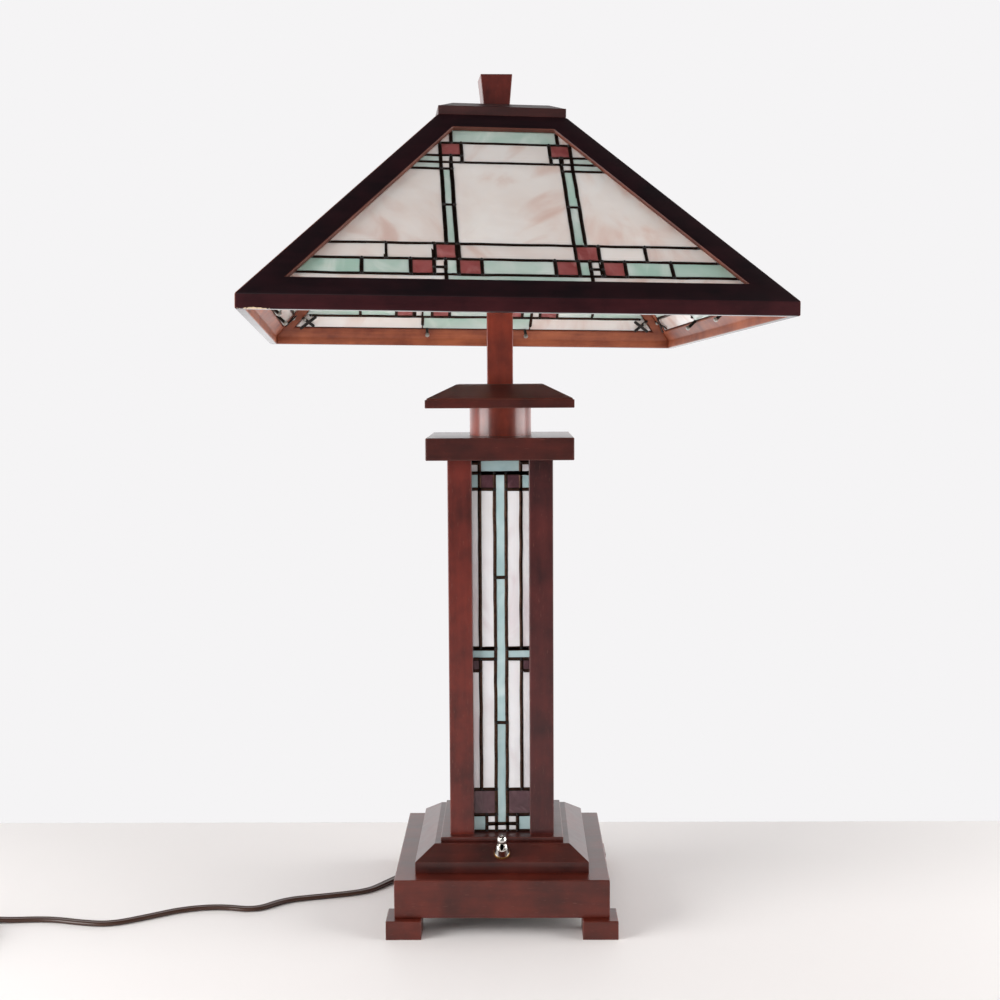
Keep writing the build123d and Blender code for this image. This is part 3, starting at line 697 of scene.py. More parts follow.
WHITE, GREEN, RUBY = Glass.WHITE, Glass.GREEN, Glass.RUBY
SHADE_PANES = (
    Pane(GREEN, -39.0, 39.0, 174.3, 191.8),
    Pane(WHITE, 40.4, None, 174.3, 189.6),
    Pane(WHITE, -31.9, 31.9, 150.7, 172.7),
    Pane(RUBY, 33.4, 47.5, 158.8, 172.7),
    Pane(WHITE, 48.9, None, 158.8, 172.7),
    Pane(WHITE, 33.4, 39.8, 150.7, 157.2),
    Pane(WHITE, 41.6, 47.5, 150.7, 157.2),
    Pane(GREEN, 48.9, None, 150.7, 157.2),
    Pane(WHITE, 41.2, 47.3, 142.9, 149.2),
    Pane(GREEN, 48.7, None, 142.9, 149.2),
    Pane(WHITE, -39.8, 39.8, 59.0, 149.2),
    Pane(GREEN, 41.2, 47.3, 101.6, 141.4),
    Pane(GREEN, 41.2, 47.3, 59.0, 100.4),
    Pane(WHITE, 48.7, None, 59.0, 141.4),
    Pane(WHITE, -39.2, 39.2, 42.9, 57.4),
    Pane(RUBY, 41.2, 56.0, 42.9, 57.4),
    Pane(WHITE, 57.1, 88.9, 42.9, 57.4),
    Pane(WHITE, 90.0, None, 42.9, 57.4),
    Pane(GREEN, -24.2, 24.2, 27.3, 41.5),
    Pane(RUBY, 25.8, 40.2, 27.3, 41.5),
    Pane(GREEN, 41.9, 48.9, 27.3, 41.5),
    Pane(WHITE, 50.2, 56.6, 34.6, 41.5),
    Pane(WHITE, 50.2, 56.6, 27.3, 33.0),
    Pane(RUBY, 57.9, 72.4, 27.3, 41.5),
    Pane(GREEN, 73.9, 105.0, 27.3, 41.5),
    Pane(GREEN, 106.2, None, 27.3, 41.5),
    Pane(GREEN, -48.6, 48.6, 13.2, 25.7),
    Pane(WHITE, 49.8, None, 13.2, 25.7),
)
COLUMN_PANES = (
    Pane(GREEN, -15.0, 15.0, 353.1, 361.9),
    Pane(WHITE, 17.0, 24.1, 353.1, 359.0),
    Pane(RUBY, 5.1, 15.0, 340.2, 351.2),
    Pane(GREEN, 17.0, 24.1, 340.4, 351.2),
    Pane(GREEN, -3.55, 3.55, 270.8, 350.8),
    Pane(GREEN, -3.55, 3.55, 155.2, 269.6),
    Pane(GREEN, -3.55, 3.55, 73.8, 154.0),
    Pane(WHITE, 5.1, 15.0, 214.9, 338.8),
    Pane(WHITE, 17.0, 24.1, 214.9, 338.4),
    Pane(GREEN, 5.1, 24.1, 206.4, 212.6),
    Pane(WHITE, 5.1, 15.0, 101.5, 204.6),
    Pane(RUBY, 17.0, 24.1, 196.9, 204.6),
    Pane(WHITE, 17.0, 24.1, 101.5, 195.6),
    Pane(RUBY, 5.1, 24.1, 80.9, 99.9),
    Pane(GREEN, 13.1, 24.1, 67.4, 79.3),
    Pane(WHITE, 5.3, 11.5, 73.9, 79.5),
    Pane(WHITE, 5.0, 11.6, 67.4, 71.8),
    Pane(WHITE, -3.6, 3.6, 67.4, 71.8),
)


def inset(outline: list[tuple[float, float]], step: float) -> list[tuple[float, float]]:
    """Moves a convex outline inwards.

    Args:
        outline: The corners, anticlockwise.
        step: How far each side moves.

    Returns:
        The new corners, in the same order.
    """
    count = len(outline)
    moved = []
    for i, (x, y) in enumerate(outline):
        before = Vector((x - outline[i - 1][0], y - outline[i - 1][1])).normalized()
        after = Vector((outline[(i + 1) % count][0] - x, outline[(i + 1) % count][1] - y)).normalized()
        left, right = Vector((-before.y, before.x)), Vector((-after.y, after.x))
        corner = (left + right) / (1 + left.dot(right))
        moved.append((x + corner.x * step, y + corner.y * step))
    return moved


def bead_tree() -> bpy.types.NodeTree:
    """A Geometry Nodes tree that runs foil and a solder bead along loose edges.

    Returns:
        The tree, with inputs for the bead's width and height, the foil's size, how far the line
        wanders, the step between its points, the seed and both finishes.
    """
    tree = bpy.data.node_groups.new("solder_bead", "GeometryNodeTree")
    for name, kind in (
        ("Lines", "NodeSocketGeometry"),
        ("Width", "NodeSocketFloat"),
        ("Height", "NodeSocketFloat"),
        ("Foil Width", "NodeSocketFloat"),
        ("Foil Height", "NodeSocketFloat"),
        ("Wander", "NodeSocketFloat"),
        ("Step", "NodeSocketFloat"),
        ("Seed", "NodeSocketFloat"),
        ("Finish", "NodeSocketMaterial"),
        ("Foil", "NodeSocketMaterial"),
    ):
        tree.interface.new_socket(name, in_out="INPUT", socket_type=kind)
    tree.interface.new_socket("Bead", in_out="OUTPUT", socket_type="NodeSocketGeometry")
    given = add(tree, "NodeGroupInput").outputs
    curve = add(tree, "GeometryNodeMeshToCurve", {"Mesh": given["Lines"]})
    spaced = add(
        tree,
        "GeometryNodeResampleCurve",
        {"Curve": curve.outputs[0], "Length": given["Step"]},
        mode="LENGTH",
    )
    wave = add(
        tree,
        "ShaderNodeTexNoise",
        {"Scale": 45.0, "Detail": 1.0, "W": given["Seed"]},
        noise_dimensions="4D",
    )
    centred = add(
        tree,
        "ShaderNodeVectorMath",
        {0: wave.outputs["Color"], 1: (0.5, 0.5, 0.5)},
        operation="SUBTRACT",
    )
    drift = add(
        tree,
        "ShaderNodeVectorMath",
        {0: centred.outputs[0], "Scale": given["Wander"]},
        operation="SCALE",
    )
    flat = add(
        tree, "ShaderNodeVectorMath", {0: drift.outputs[0], 1: (1.0, 1.0, 0.0)}, operation="MULTIPLY"
    )
    wavy = add(
        tree, "GeometryNodeSetPosition", {"Geometry": spaced.outputs[0], "Offset": flat.outputs[0]}
    )
    level = add(tree, "GeometryNodeSetCurveNormal", {"Curve": wavy.outputs[0]}, mode="Z_UP")
    swell = add(
        tree,
        "ShaderNodeTexNoise",
        {"Scale": 170.0, "Detail": 2.0, "W": given["Seed"]},
        noise_dimensions="4D",
    )
    thick = add(
        tree,
        "ShaderNodeMapRange",
        {"Value": swell.outputs[0], "From Min": 0.25, "From Max": 0.75, "To Min": 0.72, "To Max": 1.28},
    )
    fed = add(
        tree, "GeometryNodeSetCurveRadius", {"Curve": level.outputs[0], "Radius": thick.outputs[0]}
    )
    circle = add(tree, "GeometryNodeCurvePrimitiveCircle", {"Resolution": 10, "Radius": 0.5})
    shape = add(tree, "ShaderNodeCombineXYZ", {"X": given["Height"], "Y": given["Width"], "Z": 1.0})
    profile = add(
        tree, "GeometryNodeTransform", {"Geometry": circle.outputs[0], "Scale": shape.outputs[0]}
    )
    bead = add(
        tree,
        "GeometryNodeCurveToMesh",
        {"Curve": fed.outputs[0], "Profile Curve": profile.outputs[0], "Fill Caps": True},
    )
    ends = add(tree, "GeometryNodeCurveEndpointSelection", {"Start Size": 1, "End Size": 1})
    ball = add(tree, "GeometryNodeMeshUVSphere", {"Segments": 12, "Rings": 6, "Radius": 0.6})
    squashed = add(
        tree, "ShaderNodeCombineXYZ", {"X": given["Width"], "Y": given["Width"], "Z": given["Height"]}
    )
    blobs = add(
        tree,
        "GeometryNodeInstanceOnPoints",
        {
            "Points": wavy.outputs[0],
            "Selection": ends.outputs[0],
            "Instance": ball.outputs[0],
            "Scale": squashed.outputs[0],
        },
    )
    solder = add(tree, "GeometryNodeJoinGeometry")
    tree.links.new(bead.outputs[0], solder.inputs[0])
    tree.links.new(blobs.outputs[0], solder.inputs[0])
    dressed = add(
        tree, "GeometryNodeSetMaterial", {"Geometry": solder.outputs[0], "Material": given["Finish"]}
    )
    strip = add(
        tree,
        "GeometryNodeCurvePrimitiveQuadrilateral",
        {"Width": given["Foil Height"], "Height": given["Foil Width"]},
    )
    foil = add(
        tree,
        "GeometryNodeCurveToMesh",
        {"Curve": level.outputs[0], "Profile Curve": strip.outputs[0], "Fill Caps": True},
    )
    wrapped = add(
        tree, "GeometryNodeSetMaterial", {"Geometry": foil.outputs[0], "Material": given["Foil"]}
    )
    smooth = add(tree, "GeometryNodeSetShadeSmooth", {"Geometry": dressed.outputs[0]})
    both = add(tree, "GeometryNodeJoinGeometry")
    tree.links.new(wrapped.outputs[0], both.inputs[0])
    tree.links.new(smooth.outputs[0], both.inputs[0])
    real = add(tree, "GeometryNodeRealizeInstances", {"Geometry": both.outputs[0]})
    tree.links.new(real.outputs[0], add(tree, "NodeGroupOutput").inputs[0])
    return tree


def run_tree(piece: bpy.types.Object, tree: bpy.types.NodeTree, values: dict) -> None:
    """Runs a Geometry Nodes tree on an object and keeps the mesh it makes.

    Args:
        piece: The object whose mesh goes in.
        tree: The tree.
        values: Each input's name with its value.
    """
    modifier = piece.modifiers.new(tree.name, "NODES")
    modifier.node_group = tree
    for socket in tree.interface.items_tree:
        if socket.in_out == "INPUT" and socket.name in values:
            modifier[socket.identifier] = values[socket.name]
    settle(piece)


def lathe(
    shell: bmesh.types.BMesh,
    place: Matrix,
    outline: tuple[tuple[float, ...], ...],
    slots: tuple[int, ...],
    closed: bool = False,
    sides: int = 16,
) -> None:
    """Adds a turned shape to a mesh.

    Args:
        shell: The mesh it is added to.
        place: Where the shape's own axis stands.
        outline: Radius and height of each ring, in millimetres, and how far it narrows along X.
        slots: The material slot of the band after each ring.
        closed: Whether the last ring joins the first, as in a nut; otherwise the ends are capped.
        sides: How many faces go round.
    """
    rings = []
    for radius, height, *narrowing in outline:
        wide = radius * (narrowing[0] if narrowing else 1.0)
        turns = [2 * math.pi * i / sides for i in range(sides)]
        spots = [Vector((wide * math.cos(turn), radius * math.sin(turn), height)) * MM for turn in turns]
        rings.append([shell.verts.new(place @ spot) for spot in spots])
    bands = list(zip(rings, rings[1:] + rings[:1])) if closed else list(zip(rings, rings[1:]))
    for (low, high), slot in zip(bands, slots):
        for i in range(sides):
            shell.faces.new((low[i - 1], low[i], high[i], high[i - 1])).material_index = slot
    if not closed:
        shell.faces.new(rings[0]).material_index = slots[0]
        shell.faces.new(rings[-1]).material_index = slots[-1]


def finish_shell(
    shell: bmesh.types.BMesh, name: str, materials: tuple[bpy.types.Material, ...]
) -> bpy.types.Object:
    """Turns a built-up mesh into a smooth object.

    Args:
        shell: The mesh, which is freed.
        name: The object's name.
        materials: Its materials, in the order of its slots.

    Returns:
        The new object.
    """
    bmesh.ops.recalc_face_normals(shell, faces=shell.faces)
    mesh = bpy.data.meshes.new(name)
    for material in materials:
        mesh.materials.append(material)
    shell.to_mesh(mesh)
    shell.free()
    mesh.shade_smooth()
    mesh.set_sharp_from_angle(angle=math.radians(35))
    return link_object(name, mesh)


@dataclass
class LeadedPanel:
    """One leaded glass panel, laid out flat with +Z out of its face, then put in its place."""

    name: str
    panes: tuple[Pane, ...]
    sheets: list[bpy.types.Material]
    body: str
    place: Matrix
    half_bottom: float
    half_top: float
    bottom: float
    top: float
    seed: int
    glass_margin: float = 4.0
    thickness: float = 2.3
    joint: float = 0.75
    bead_width: float = 2.4
    bead_height: float = 4.2
    foil_width: float = 2.5
    foil_lip: float = 0.3
    wander: float = 1.1
    bead_step: float = 3.0
    edge_round: float = 0.3
    warp: float = 0.22
    line_gap: float = 0.8
    end_gap: float = 1.0

    def half_at(self, height: float, margin: float = 0.0) -> float:
        """Half the opening's width at a height up the panel, plus a square margin."""
        slope = (self.half_bottom - self.half_top) / (self.top - self.bottom)
        return self.half_bottom + margin * math.hypot(1, slope) - slope * (height - self.bottom)

    def outlines(self) -> Iterator[tuple[Pane, list[tuple[float, float]]]]:
        """Goes through the pieces of glass.

        Returns:
            Every piece with its anticlockwise outline, the mirrored ones too.
        """
        for pane in self.panes:
            low_end = high_end = pane.outer
            if pane.outer is None:
                low_end = self.half_at(pane.low, self.glass_margin)
                high_end = self.half_at(pane.high, self.glass_margin)
            corners = [
                (pane.inner, pane.low),
                (low_end, pane.low),
                (high_end, pane.high),
                (pane.inner, pane.high),
            ]
            yield pane, corners
            if pane.inner > 0:
                yield pane, [(-x, y) for x, y in reversed(corners)]

    def make_glass(self) -> bpy.types.Object:
        """Cuts each piece from its own place in the sheet and sets it a little askew.

        Returns:
            The panel's glass as one object.
        """
        draw = random.Random(self.seed)
        points, faces, colours, cuts, tints = [], [], [], [], []
        for pane, outline in self.outlines():
            count = len(outline)
            first = len(points)
            middle = Vector((sum(x for x, _ in outline), sum(y for _, y in outline))) / count
            tilt = Vector((draw.uniform(-1, 1), draw.uniform(-1, 1))) * self.warp
            size = max(abs(x - middle.x) + abs(y - middle.y) for x, y in outline)
            angle = draw.uniform(-0.7, 0.7)
            turn = Matrix.Rotation(angle, 2)
            origin = Vector((draw.uniform(-1, 1), draw.uniform(-1, 1)))
            tint = draw.random()
            rounded = inset(outline, self.edge_round)
            rings = (
                (rounded, 0.0),
                (outline, -self.edge_round),
                (outline, self.edge_round - self.thickness),
                (rounded, -self.thickness),
            )
            for ring, depth in rings:
                for x, y in ring:
                    lean = (Vector((x, y)) - middle).dot(tilt) / max(size, 1.0)
                    points.append(Vector((x, y, depth + lean)) * MM)
                    spot = turn @ (Vector((x, y)) * MM)
                    cuts.append((spot.x + origin.x, spot.y + origin.y, origin.x * 3 + depth * MM))
                    tints.append(tint)
            faces.append([first + i for i in range(count)])
            for ring in range(3):
                for i in range(count):
                    a, b = first + ring * count + i, first + ring * count + (i + 1) % count
                    faces.append([a, a + count, b + count, b])
            faces.append([first + 3 * count + i for i in reversed(range(count))])
            colours += [pane.glass.value] * (2 + 3 * count)
        mesh = mesh_from(f"{self.name}_panes", points, faces)
        for material in self.sheets:
            mesh.materials.append(material)
        mesh.polygons.foreach_set("material_index", colours)
        mesh.attributes.new("sheet_place", "FLOAT_VECTOR", "POINT").data.foreach_set(
            "vector", [value for cut in cuts for value in cut]
        )
        mesh.attributes.new("sheet_tint", "FLOAT", "POINT").data.foreach_set("value", tints)
        mesh.transform(self.place)
        return link_object(f"{self.name}_panes", mesh)

    def joints(self) -> list[tuple[tuple[float, float], tuple[float, float]]]:
        """The straight lines between the pieces, those on one line joined up.

        Returns:
            The two ends of each line.
        """
        found: dict[bool, list[tuple[float, float, float]]] = {True: [], False: []}
        for pane, outline in self.outlines():
            left, right = min(x for x, _ in outline), max(x for x, _ in outline)
            mirrored = outline[0][0] < 0 < pane.inner
            for level, row in ((pane.low - self.joint, pane.low), (pane.high + self.joint, pane.high)):
                reach = self.half_at(row, 0.5)
                found[True].append((level, max(left - self.joint, -reach), min(right + self.joint, reach)))
            for edge, hip in ((left - self.joint, mirrored), (right + self.joint, not mirrored)):
                if not (hip and pane.outer is None):
                    found[False].append((edge, pane.low - self.joint, pane.high + self.joint))
        lines = []
        for level_line, strokes in found.items():
            for level, start, end in self.merged(strokes):
                start, end = (start, end) if level_line else (max(start, self.bottom), min(end, self.top))
                inside = self.bottom < level < self.top if level_line else abs(level) < self.half_at(start)
                if inside and end - start > self.end_gap:
                    ends = ((start, level), (end, level)) if level_line else ((level, start), (level, end))
                    lines.append(ends)
        return lines

    def merged(self, strokes: list[tuple[float, float, float]]) -> list[tuple[float, float, float]]:
        """Joins the strokes that touch at nearly one level.

        Args:
            strokes: Each stroke's level, start and end.

        Returns:
            The joined strokes, in the same form.
        """
        joined: list[list[float]] = []
        for level, start, end in sorted(strokes):
            for line in joined:
                beside = abs(line[0] - level) < self.line_gap
                if beside and start <= line[2] + self.end_gap and end >= line[1] - self.end_gap:
                    line[1], line[2] = min(line[1], start), max(line[2], end)
                    break
            else:
                joined.append([level, start, end])
        return [(level, start, end) for level, start, end in joined]

    def make_beads(self, tree: bpy.types.NodeTree, finishes: Finishes) -> bpy.types.Object:
        """Runs foil and solder between the pieces, raised on both faces of the panel.

        Args:
            tree: The Geometry Nodes tree of a bead.
            finishes: The lamp's materials.

        Returns:
            The panel's beads as one object.
        """
        points, edges = [], []
        for ends in self.joints():
            edges.append((len(points), len(points) + 1))
            points += [Vector((x, y, -self.thickness / 2)) * MM for x, y in ends]
        piece = link_object(f"{self.name}_solder", mesh_from(f"{self.name}_solder", points, [], edges))
        values = {
            "Width": self.bead_width * MM,
            "Height": self.bead_height * MM,
            "Foil Width": self.foil_width * MM,
            "Foil Height": (self.thickness + self.foil_lip) * MM,
            "Wander": self.wander * MM,
            "Step": self.bead_step * MM,
            "Seed": float(self.seed),
            "Finish": finishes.solder,
            "Foil": finishes.copper,
        }
        run_tree(piece, tree, values)
        piece.data.transform(self.place)
        return piece

    def build(self, tree: bpy.types.NodeTree, finishes: Finishes) -> None:
        """Makes the panel's pieces and lets them stand for their CAD nodes.

        Args:
            tree: The Geometry Nodes tree of a bead.
            finishes: The lamp's materials.
        """
        glass = self.make_glass()
        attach(glass, self.body)
        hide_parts(self.name.replace("_panel_", "_glass_"))
        beads = self.make_beads(tree, finishes)
        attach(beads, self.body)
        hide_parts(self.name.replace("_panel_", "_leading_"))
        LOG.info("%s: %d faces of solder", self.name, len(beads.data.polygons))


@dataclass
class Column:
    """The column's four leaded panels."""

    glass_front: float = 33.9
    half_width: float = 22.1
    seed: int = 40

    def build(self, tree: bpy.types.NodeTree, finishes: Finishes) -> None:
        """Builds a panel on each side.

        Args:
            tree: The Geometry Nodes tree of a bead.
            finishes: The lamp's materials.
        """
        low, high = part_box("column_leading_front")
        upright = Matrix.Translation((0, -self.glass_front * MM, 0)) @ Matrix.Rotation(math.pi / 2, 4, "X")
        for turns, side in enumerate(SIDES):
            LeadedPanel(
                name=f"column_panel_{side}",
                panes=COLUMN_PANES,
                # The column takes the painted-shade copies of the glass.
                sheets=finishes.painted_shade_column_sheets,
                body="base",
                place=Matrix.Rotation(turns * math.pi / 2, 4, "Z") @ upright,
                half_bottom=self.half_width,
                half_top=self.half_width,
                bottom=low[2] / MM,
                top=high[2] / MM,
                seed=self.seed + turns,
                bead_width=2.5,
                foil_width=2.7,
            ).build(tree, finishes)


@dataclass
class Shade:
    """The pyramid shade: four framed panels under a cap, hanging a little crooked on its seat."""

    seat: tuple[float, float, float] = (-2.3, 3.0, 619.5)
    tilt: tuple[float, float, float] = (-2.30, 0.55, 6.58)
    half: float = 187.4
    top_half: float = 48.8
    rise: float = 148.25
    glass_recess: float = 4.3
    opening_bottom: float = 17.2
    opening_top: float = 187.8
    opening_bottom_half: float = 155.1
    opening_top_half: float = 38.0
    edge_round: float = 0.9
    ease_segments: int = 3
    ease_angle: float = 25.0
    sharp_angle: float = 40.0
    retainer_depth: float = 7.45
    chip_x: float = 13.0
    pin_x: float = 45.0
    pin_drop: float = 4.0
    pin: tuple[tuple[float, float], ...] = (
        (1.3, 0.0),
        (1.3, -7.6),
        (1.9, -8.0),
        (2.0, -9.2),
        (1.5, -10.1),
        (0.6, -10.5),
    )
    strip_x: float = 152.0
    strip_rise: float = 3.0
    strips: tuple[tuple[float, float], ...] = ((48.0, 6.5), (-42.0, 8.6))
    strip_radius: float = 1.3
    strip_thickness: float = 0.8
    strip_bend: float = 1.2
    screw_shift: tuple[float, float] = (3.4, 3.4)
    screw_head: tuple[tuple[float, float], ...] = ((1.7, 0.0), (1.6, -1.6), (0.8, -2.2))
    seed: int = 7

    def place(self) -> Matrix:
        """Where the shade's own frame stands."""
        x, y, z = [math.radians(angle) for angle in self.tilt]
        turn = Matrix.Rotation(x, 4, "X") @ Matrix.Rotation(y, 4, "Y") @ Matrix.Rotation(z, 4, "Z")
        return Matrix.Translation(Vector(self.seat) * MM) @ turn

    def slope(self) -> Matrix:
        """The front side's outer face, as a frame with +Y up the slope and +Z outwards."""
        lean = math.atan2(self.rise, self.half - self.top_half)
        corner = Matrix.Translation(Vector((0, -self.half, -self.rise)) * MM)
        return corner @ Matrix.Rotation(lean, 4, "X")

    def build_panels(self, tree: bpy.types.NodeTree, finishes: Finishes) -> None:
        """Builds the leaded panel of each side.

        Args:
            tree: The Geometry Nodes tree of a bead.
            finishes: The lamp's materials.
        """
        recess = Matrix.Translation((0, 0, -self.glass_recess * MM))
        for turns, side in enumerate(SIDES):
            LeadedPanel(
                name=f"shade_panel_{side}",
                panes=SHADE_PANES,
                # The shade's glass, with its green and ruby painted lighter as painted light.
                sheets=finishes.glass,
                body="shade",
                place=self.place() @ Matrix.Rotation(turns * math.pi / 2, 4, "Z") @ self.slope() @ recess,
                half_bottom=self.opening_bottom_half,
                half_top=self.opening_top_half,
                bottom=self.opening_bottom,
                top=self.opening_top,
                seed=self.seed + turns,
            ).build(tree, finishes)

    def stain_of(self, normal: Vector, turns: int) -> int:
        """The stain of one face of a side's frame.

        Args:
            normal: The face's normal, in the assembled lamp.
            turns: The side's number, anticlockwise from the front.

        Returns:
            0 for the dark slope, 1 for the inside, a thinner stain with painted light from the glass,
            2 for the opening's edges, with some of that painted light, 3 for the band round the
            bottom, a lighter copy of the slope's stain as painted light, and 4 for its underside.
        """
        local = Matrix.Rotation(-turns * math.pi / 2, 3, "Z") @ self.place().to_3x3().inverted() @ normal
        outward = self.slope().to_3x3() @ Vector((0, 0, 1))
        if local.y <= -0.9:
            return 3
        if local.z <= -0.9:
            return 4
        if local.dot(outward) >= 0.5:
            return 0
        return 2 if abs(local.dot(outward)) < 0.25 else 1

    def build_retainers(self, finishes: Finishes) -> None:
        """Makes the pins and crossed strips that hold the glass inside the bottom rails.

        Args:
            finishes: The lamp's materials.
        """
        shell = bmesh.new()
        for turns in range(len(SIDES)):
            behind = Matrix.Translation((0, 0, -self.retainer_depth * MM))
            rail = self.place() @ Matrix.Rotation(turns * math.pi / 2, 4, "Z") @ self.slope() @ behind
            for hand in (-1, 1):
                spot = Vector((hand * self.pin_x, self.opening_bottom - self.pin_drop, 0)) * MM
                lathe(shell, rail @ Matrix.Translation(spot), self.pin, (0, 0, 1, 1, 1))
                height = self.opening_bottom + self.strip_rise
                for layer, (angle, half) in enumerate(self.strips):
                    spot = Vector((hand * self.strip_x, height, -layer)) * MM
                    lie = Matrix.Rotation(hand * math.radians(angle), 4, "Z")
                    self.add_strip(shell, rail @ Matrix.Translation(spot) @ lie, half)
                outwards, up = self.screw_shift
                spot = Vector((hand * (self.strip_x + outwards), height + up, -1)) * MM
                lathe(shell, rail @ Matrix.Translation(spot), self.screw_head, (1, 1))
        piece = finish_shell(shell, "glass_pins_and_strips", (finishes.black_steel, finishes.zinc))
        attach(piece, "shade")
        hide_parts("glass_retainers")
        LOG.info("glass pins and strips made")

    def add_strip(self, shell: bmesh.types.BMesh, place: Matrix, half: float) -> None:
        """Adds a flat strip with rounded ends, bent up a little at one end.

        Args:
            shell: The mesh it is added to.
            place: Where the strip's middle lies, with +X along it.
            half: Half its straight length, in millimetres.
        """
        radius, steps = self.strip_radius, 6
        outline = []
        for hand in (1, -1):
            for i in range(steps + 1):
                angle = math.pi * (i / steps - 0.5)
                outline.append((hand * (half + radius * math.cos(angle)), hand * radius * math.sin(angle)))
        levels = []
        for depth in (0.0, -self.strip_thickness):
            level = []
            for x, y in outline:
                bent = -self.strip_bend * max(0.0, x / half) ** 2
                level.append(shell.verts.new(place @ (Vector((x, y, depth + bent)) * MM)))
            levels.append(level)
        top, bottom = levels
        for i in range(len(outline)):
            shell.faces.new((top[i - 1], top[i], bottom[i], bottom[i - 1]))
        count = len(outline)
        for level in levels:
            for i in range(count // 2 - 1):
                shell.faces.new((level[i], level[i + 1], level[count - 2 - i], level[count - 1 - i]))

    def chip_spot(self, mesh: bpy.types.Mesh) -> Matrix:
        """The middle of the chips: near the left end of the front band's lower edge."""
        back = self.place().inverted()
        low = min((back @ vertex.co).z for vertex in mesh.vertices)
        return self.place() @ Matrix.Translation(((self.chip_x - self.half) * MM, -self.half * MM, low))

    def stains(self, name: str, turns: int, spot: Matrix) -> list[LacqueredMahogany]:
        """The stains of a side's frame or of the cap, in the order that stain_of counts them.

        Args:
            name: The wooden node's name.
            turns: The side's number, anticlockwise from the front.
            spot: Where the chips of the front side are.

        Returns:
            All five for a frame, and only the slope's for the cap.
        """
        framed = name != "shade_top_cap"
        outer = LacqueredMahogany(
            f"dark_mahogany_{name}",
            grain=Grain.ACROSS,
            turn=(0.0, 0.0, -math.radians(self.tilt[2]) - turns * math.pi / 2),
            light="#260c12" if framed else "#3e1a18",
            dark="#12060b" if framed else "#220c0c",
            pore_show=0.05,
            gloss=0.44,
            coat=0.08,
            # Painted highlight along the edges, dimmer on the dark slope.
            edge_highlight="#56241f",
            chipped=spot if turns == 0 else None,
        )
        if not framed:
            return [outer]
        # The inside faces take a light orange-brown: partly a thinner stain, partly painted light for the
        # light that comes through the glass and bounces inside the shade.
        inner = LacqueredMahogany(
            f"thin_stained_mahogany_{name}",
            grain=Grain.ACROSS,
            turn=outer.turn,
            light="#a65c3c",
            dark="#6b3121",
            gloss=0.5,
            coat=0.1,
        )
        # The opening's edges take a colour between the two, with some of the same painted light.
        reveal = replace(inner, name=f"half_stained_mahogany_{name}", light="#6c3a2c", dark="#46231b")
        # The band takes a lighter, redder copy of the slope's stain, as painted light where it faces the
        # light from the front; its own shine is faint, so that it stays brown under that light.
        band = replace(
            outer,
            name=f"band_mahogany_{name}",
            light="#3a1519",
            dark="#260c11",
            gloss=0.5,
            coat=0.0,
            ior=1.22,
        )
        underside = replace(outer, name=f"underside_mahogany_{name}", gloss=0.31, coat=0.4)
        return [outer, inner, reveal, band, underside]

    def stained_copy(self, name: str, turns: int) -> bpy.types.Mesh:
        """A wooden node's mesh with its flats made whole and a stain on each face.

        Args:
            name: The node's name.
            turns: The side's number, anticlockwise from the front, or 4 for the cap.

        Returns:
            The new mesh with its materials.
        """
        mesh = NODES[name].data.copy()
        shell = bmesh.new()
        shell.from_mesh(mesh)
        bmesh.ops.remove_doubles(shell, verts=shell.verts, dist=1e-6)
        bmesh.ops.dissolve_limit(
            shell, angle_limit=math.radians(0.5), verts=shell.verts, edges=shell.edges
        )
        shell.normal_update()
        for face in shell.faces:
            face.material_index = self.stain_of(face.normal, turns) if turns < len(SIDES) else 0
        mesh.materials.clear()
        shell.to_mesh(mesh)
        shell.free()
        for stain in self.stains(name, turns, self.chip_spot(mesh)):
            mesh.materials.append(stain.make())
        return mesh

    def build_frames(self) -> None:
        """Eases the edges of each mitred frame and of the cap, and runs the grain along them."""
        names = [f"shade_frame_{side}" for side in SIDES] + ["shade_top_cap"]
        for turns, name in enumerate(names):
            piece = link_object(f"{name}_eased", self.stained_copy(name, turns))
            bevel = piece.modifiers.new("eased", "BEVEL")
            bevel.width = self.edge_round * MM
            bevel.segments = self.ease_segments
            bevel.limit_method = "ANGLE"
            bevel.angle_limit = math.radians(self.ease_angle)
            settle(piece)
            piece.data.set_sharp_from_angle(angle=math.radians(self.sharp_angle))
            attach(piece, "shade")
            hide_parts(name)
            LOG.info("%s eased", name)


# ------------------------------------------------------------------ fittings
@dataclass
class Fittings:
    """Hardware, sockets, bulbs and the pieces on the cord, kept as the CAD makes them."""

    def dress(self, finishes: Finishes) -> None:
        """Gives each fitting its finish.

        Args:
            finishes: The lamp's materials.
        """
        wanted = {
            finishes.brass: ("cluster_body", "plug_blades"),
            finishes.zinc: (
                "base_cover_screws",
                "centre_pipe",
                "lock_nuts_and_washers",
                "riser_rod",
            ),
            finishes.phenolic: (
                "lamp_socket_left",
                "lamp_socket_right",
                "night_light_socket",
                "cord_tie",
            ),
            finishes.vinyl: ("strain_relief", "plug_body", "inner_wiring"),
            finishes.hardboard: ("base_bottom_cover",),
            finishes.frosted: ("bulb_left", "bulb_right", "night_light_bulb"),
        }
        for material, names in wanted.items():
            for name in names:
                Finishes.dress(name, material)
        LOG.info("fittings dressed")


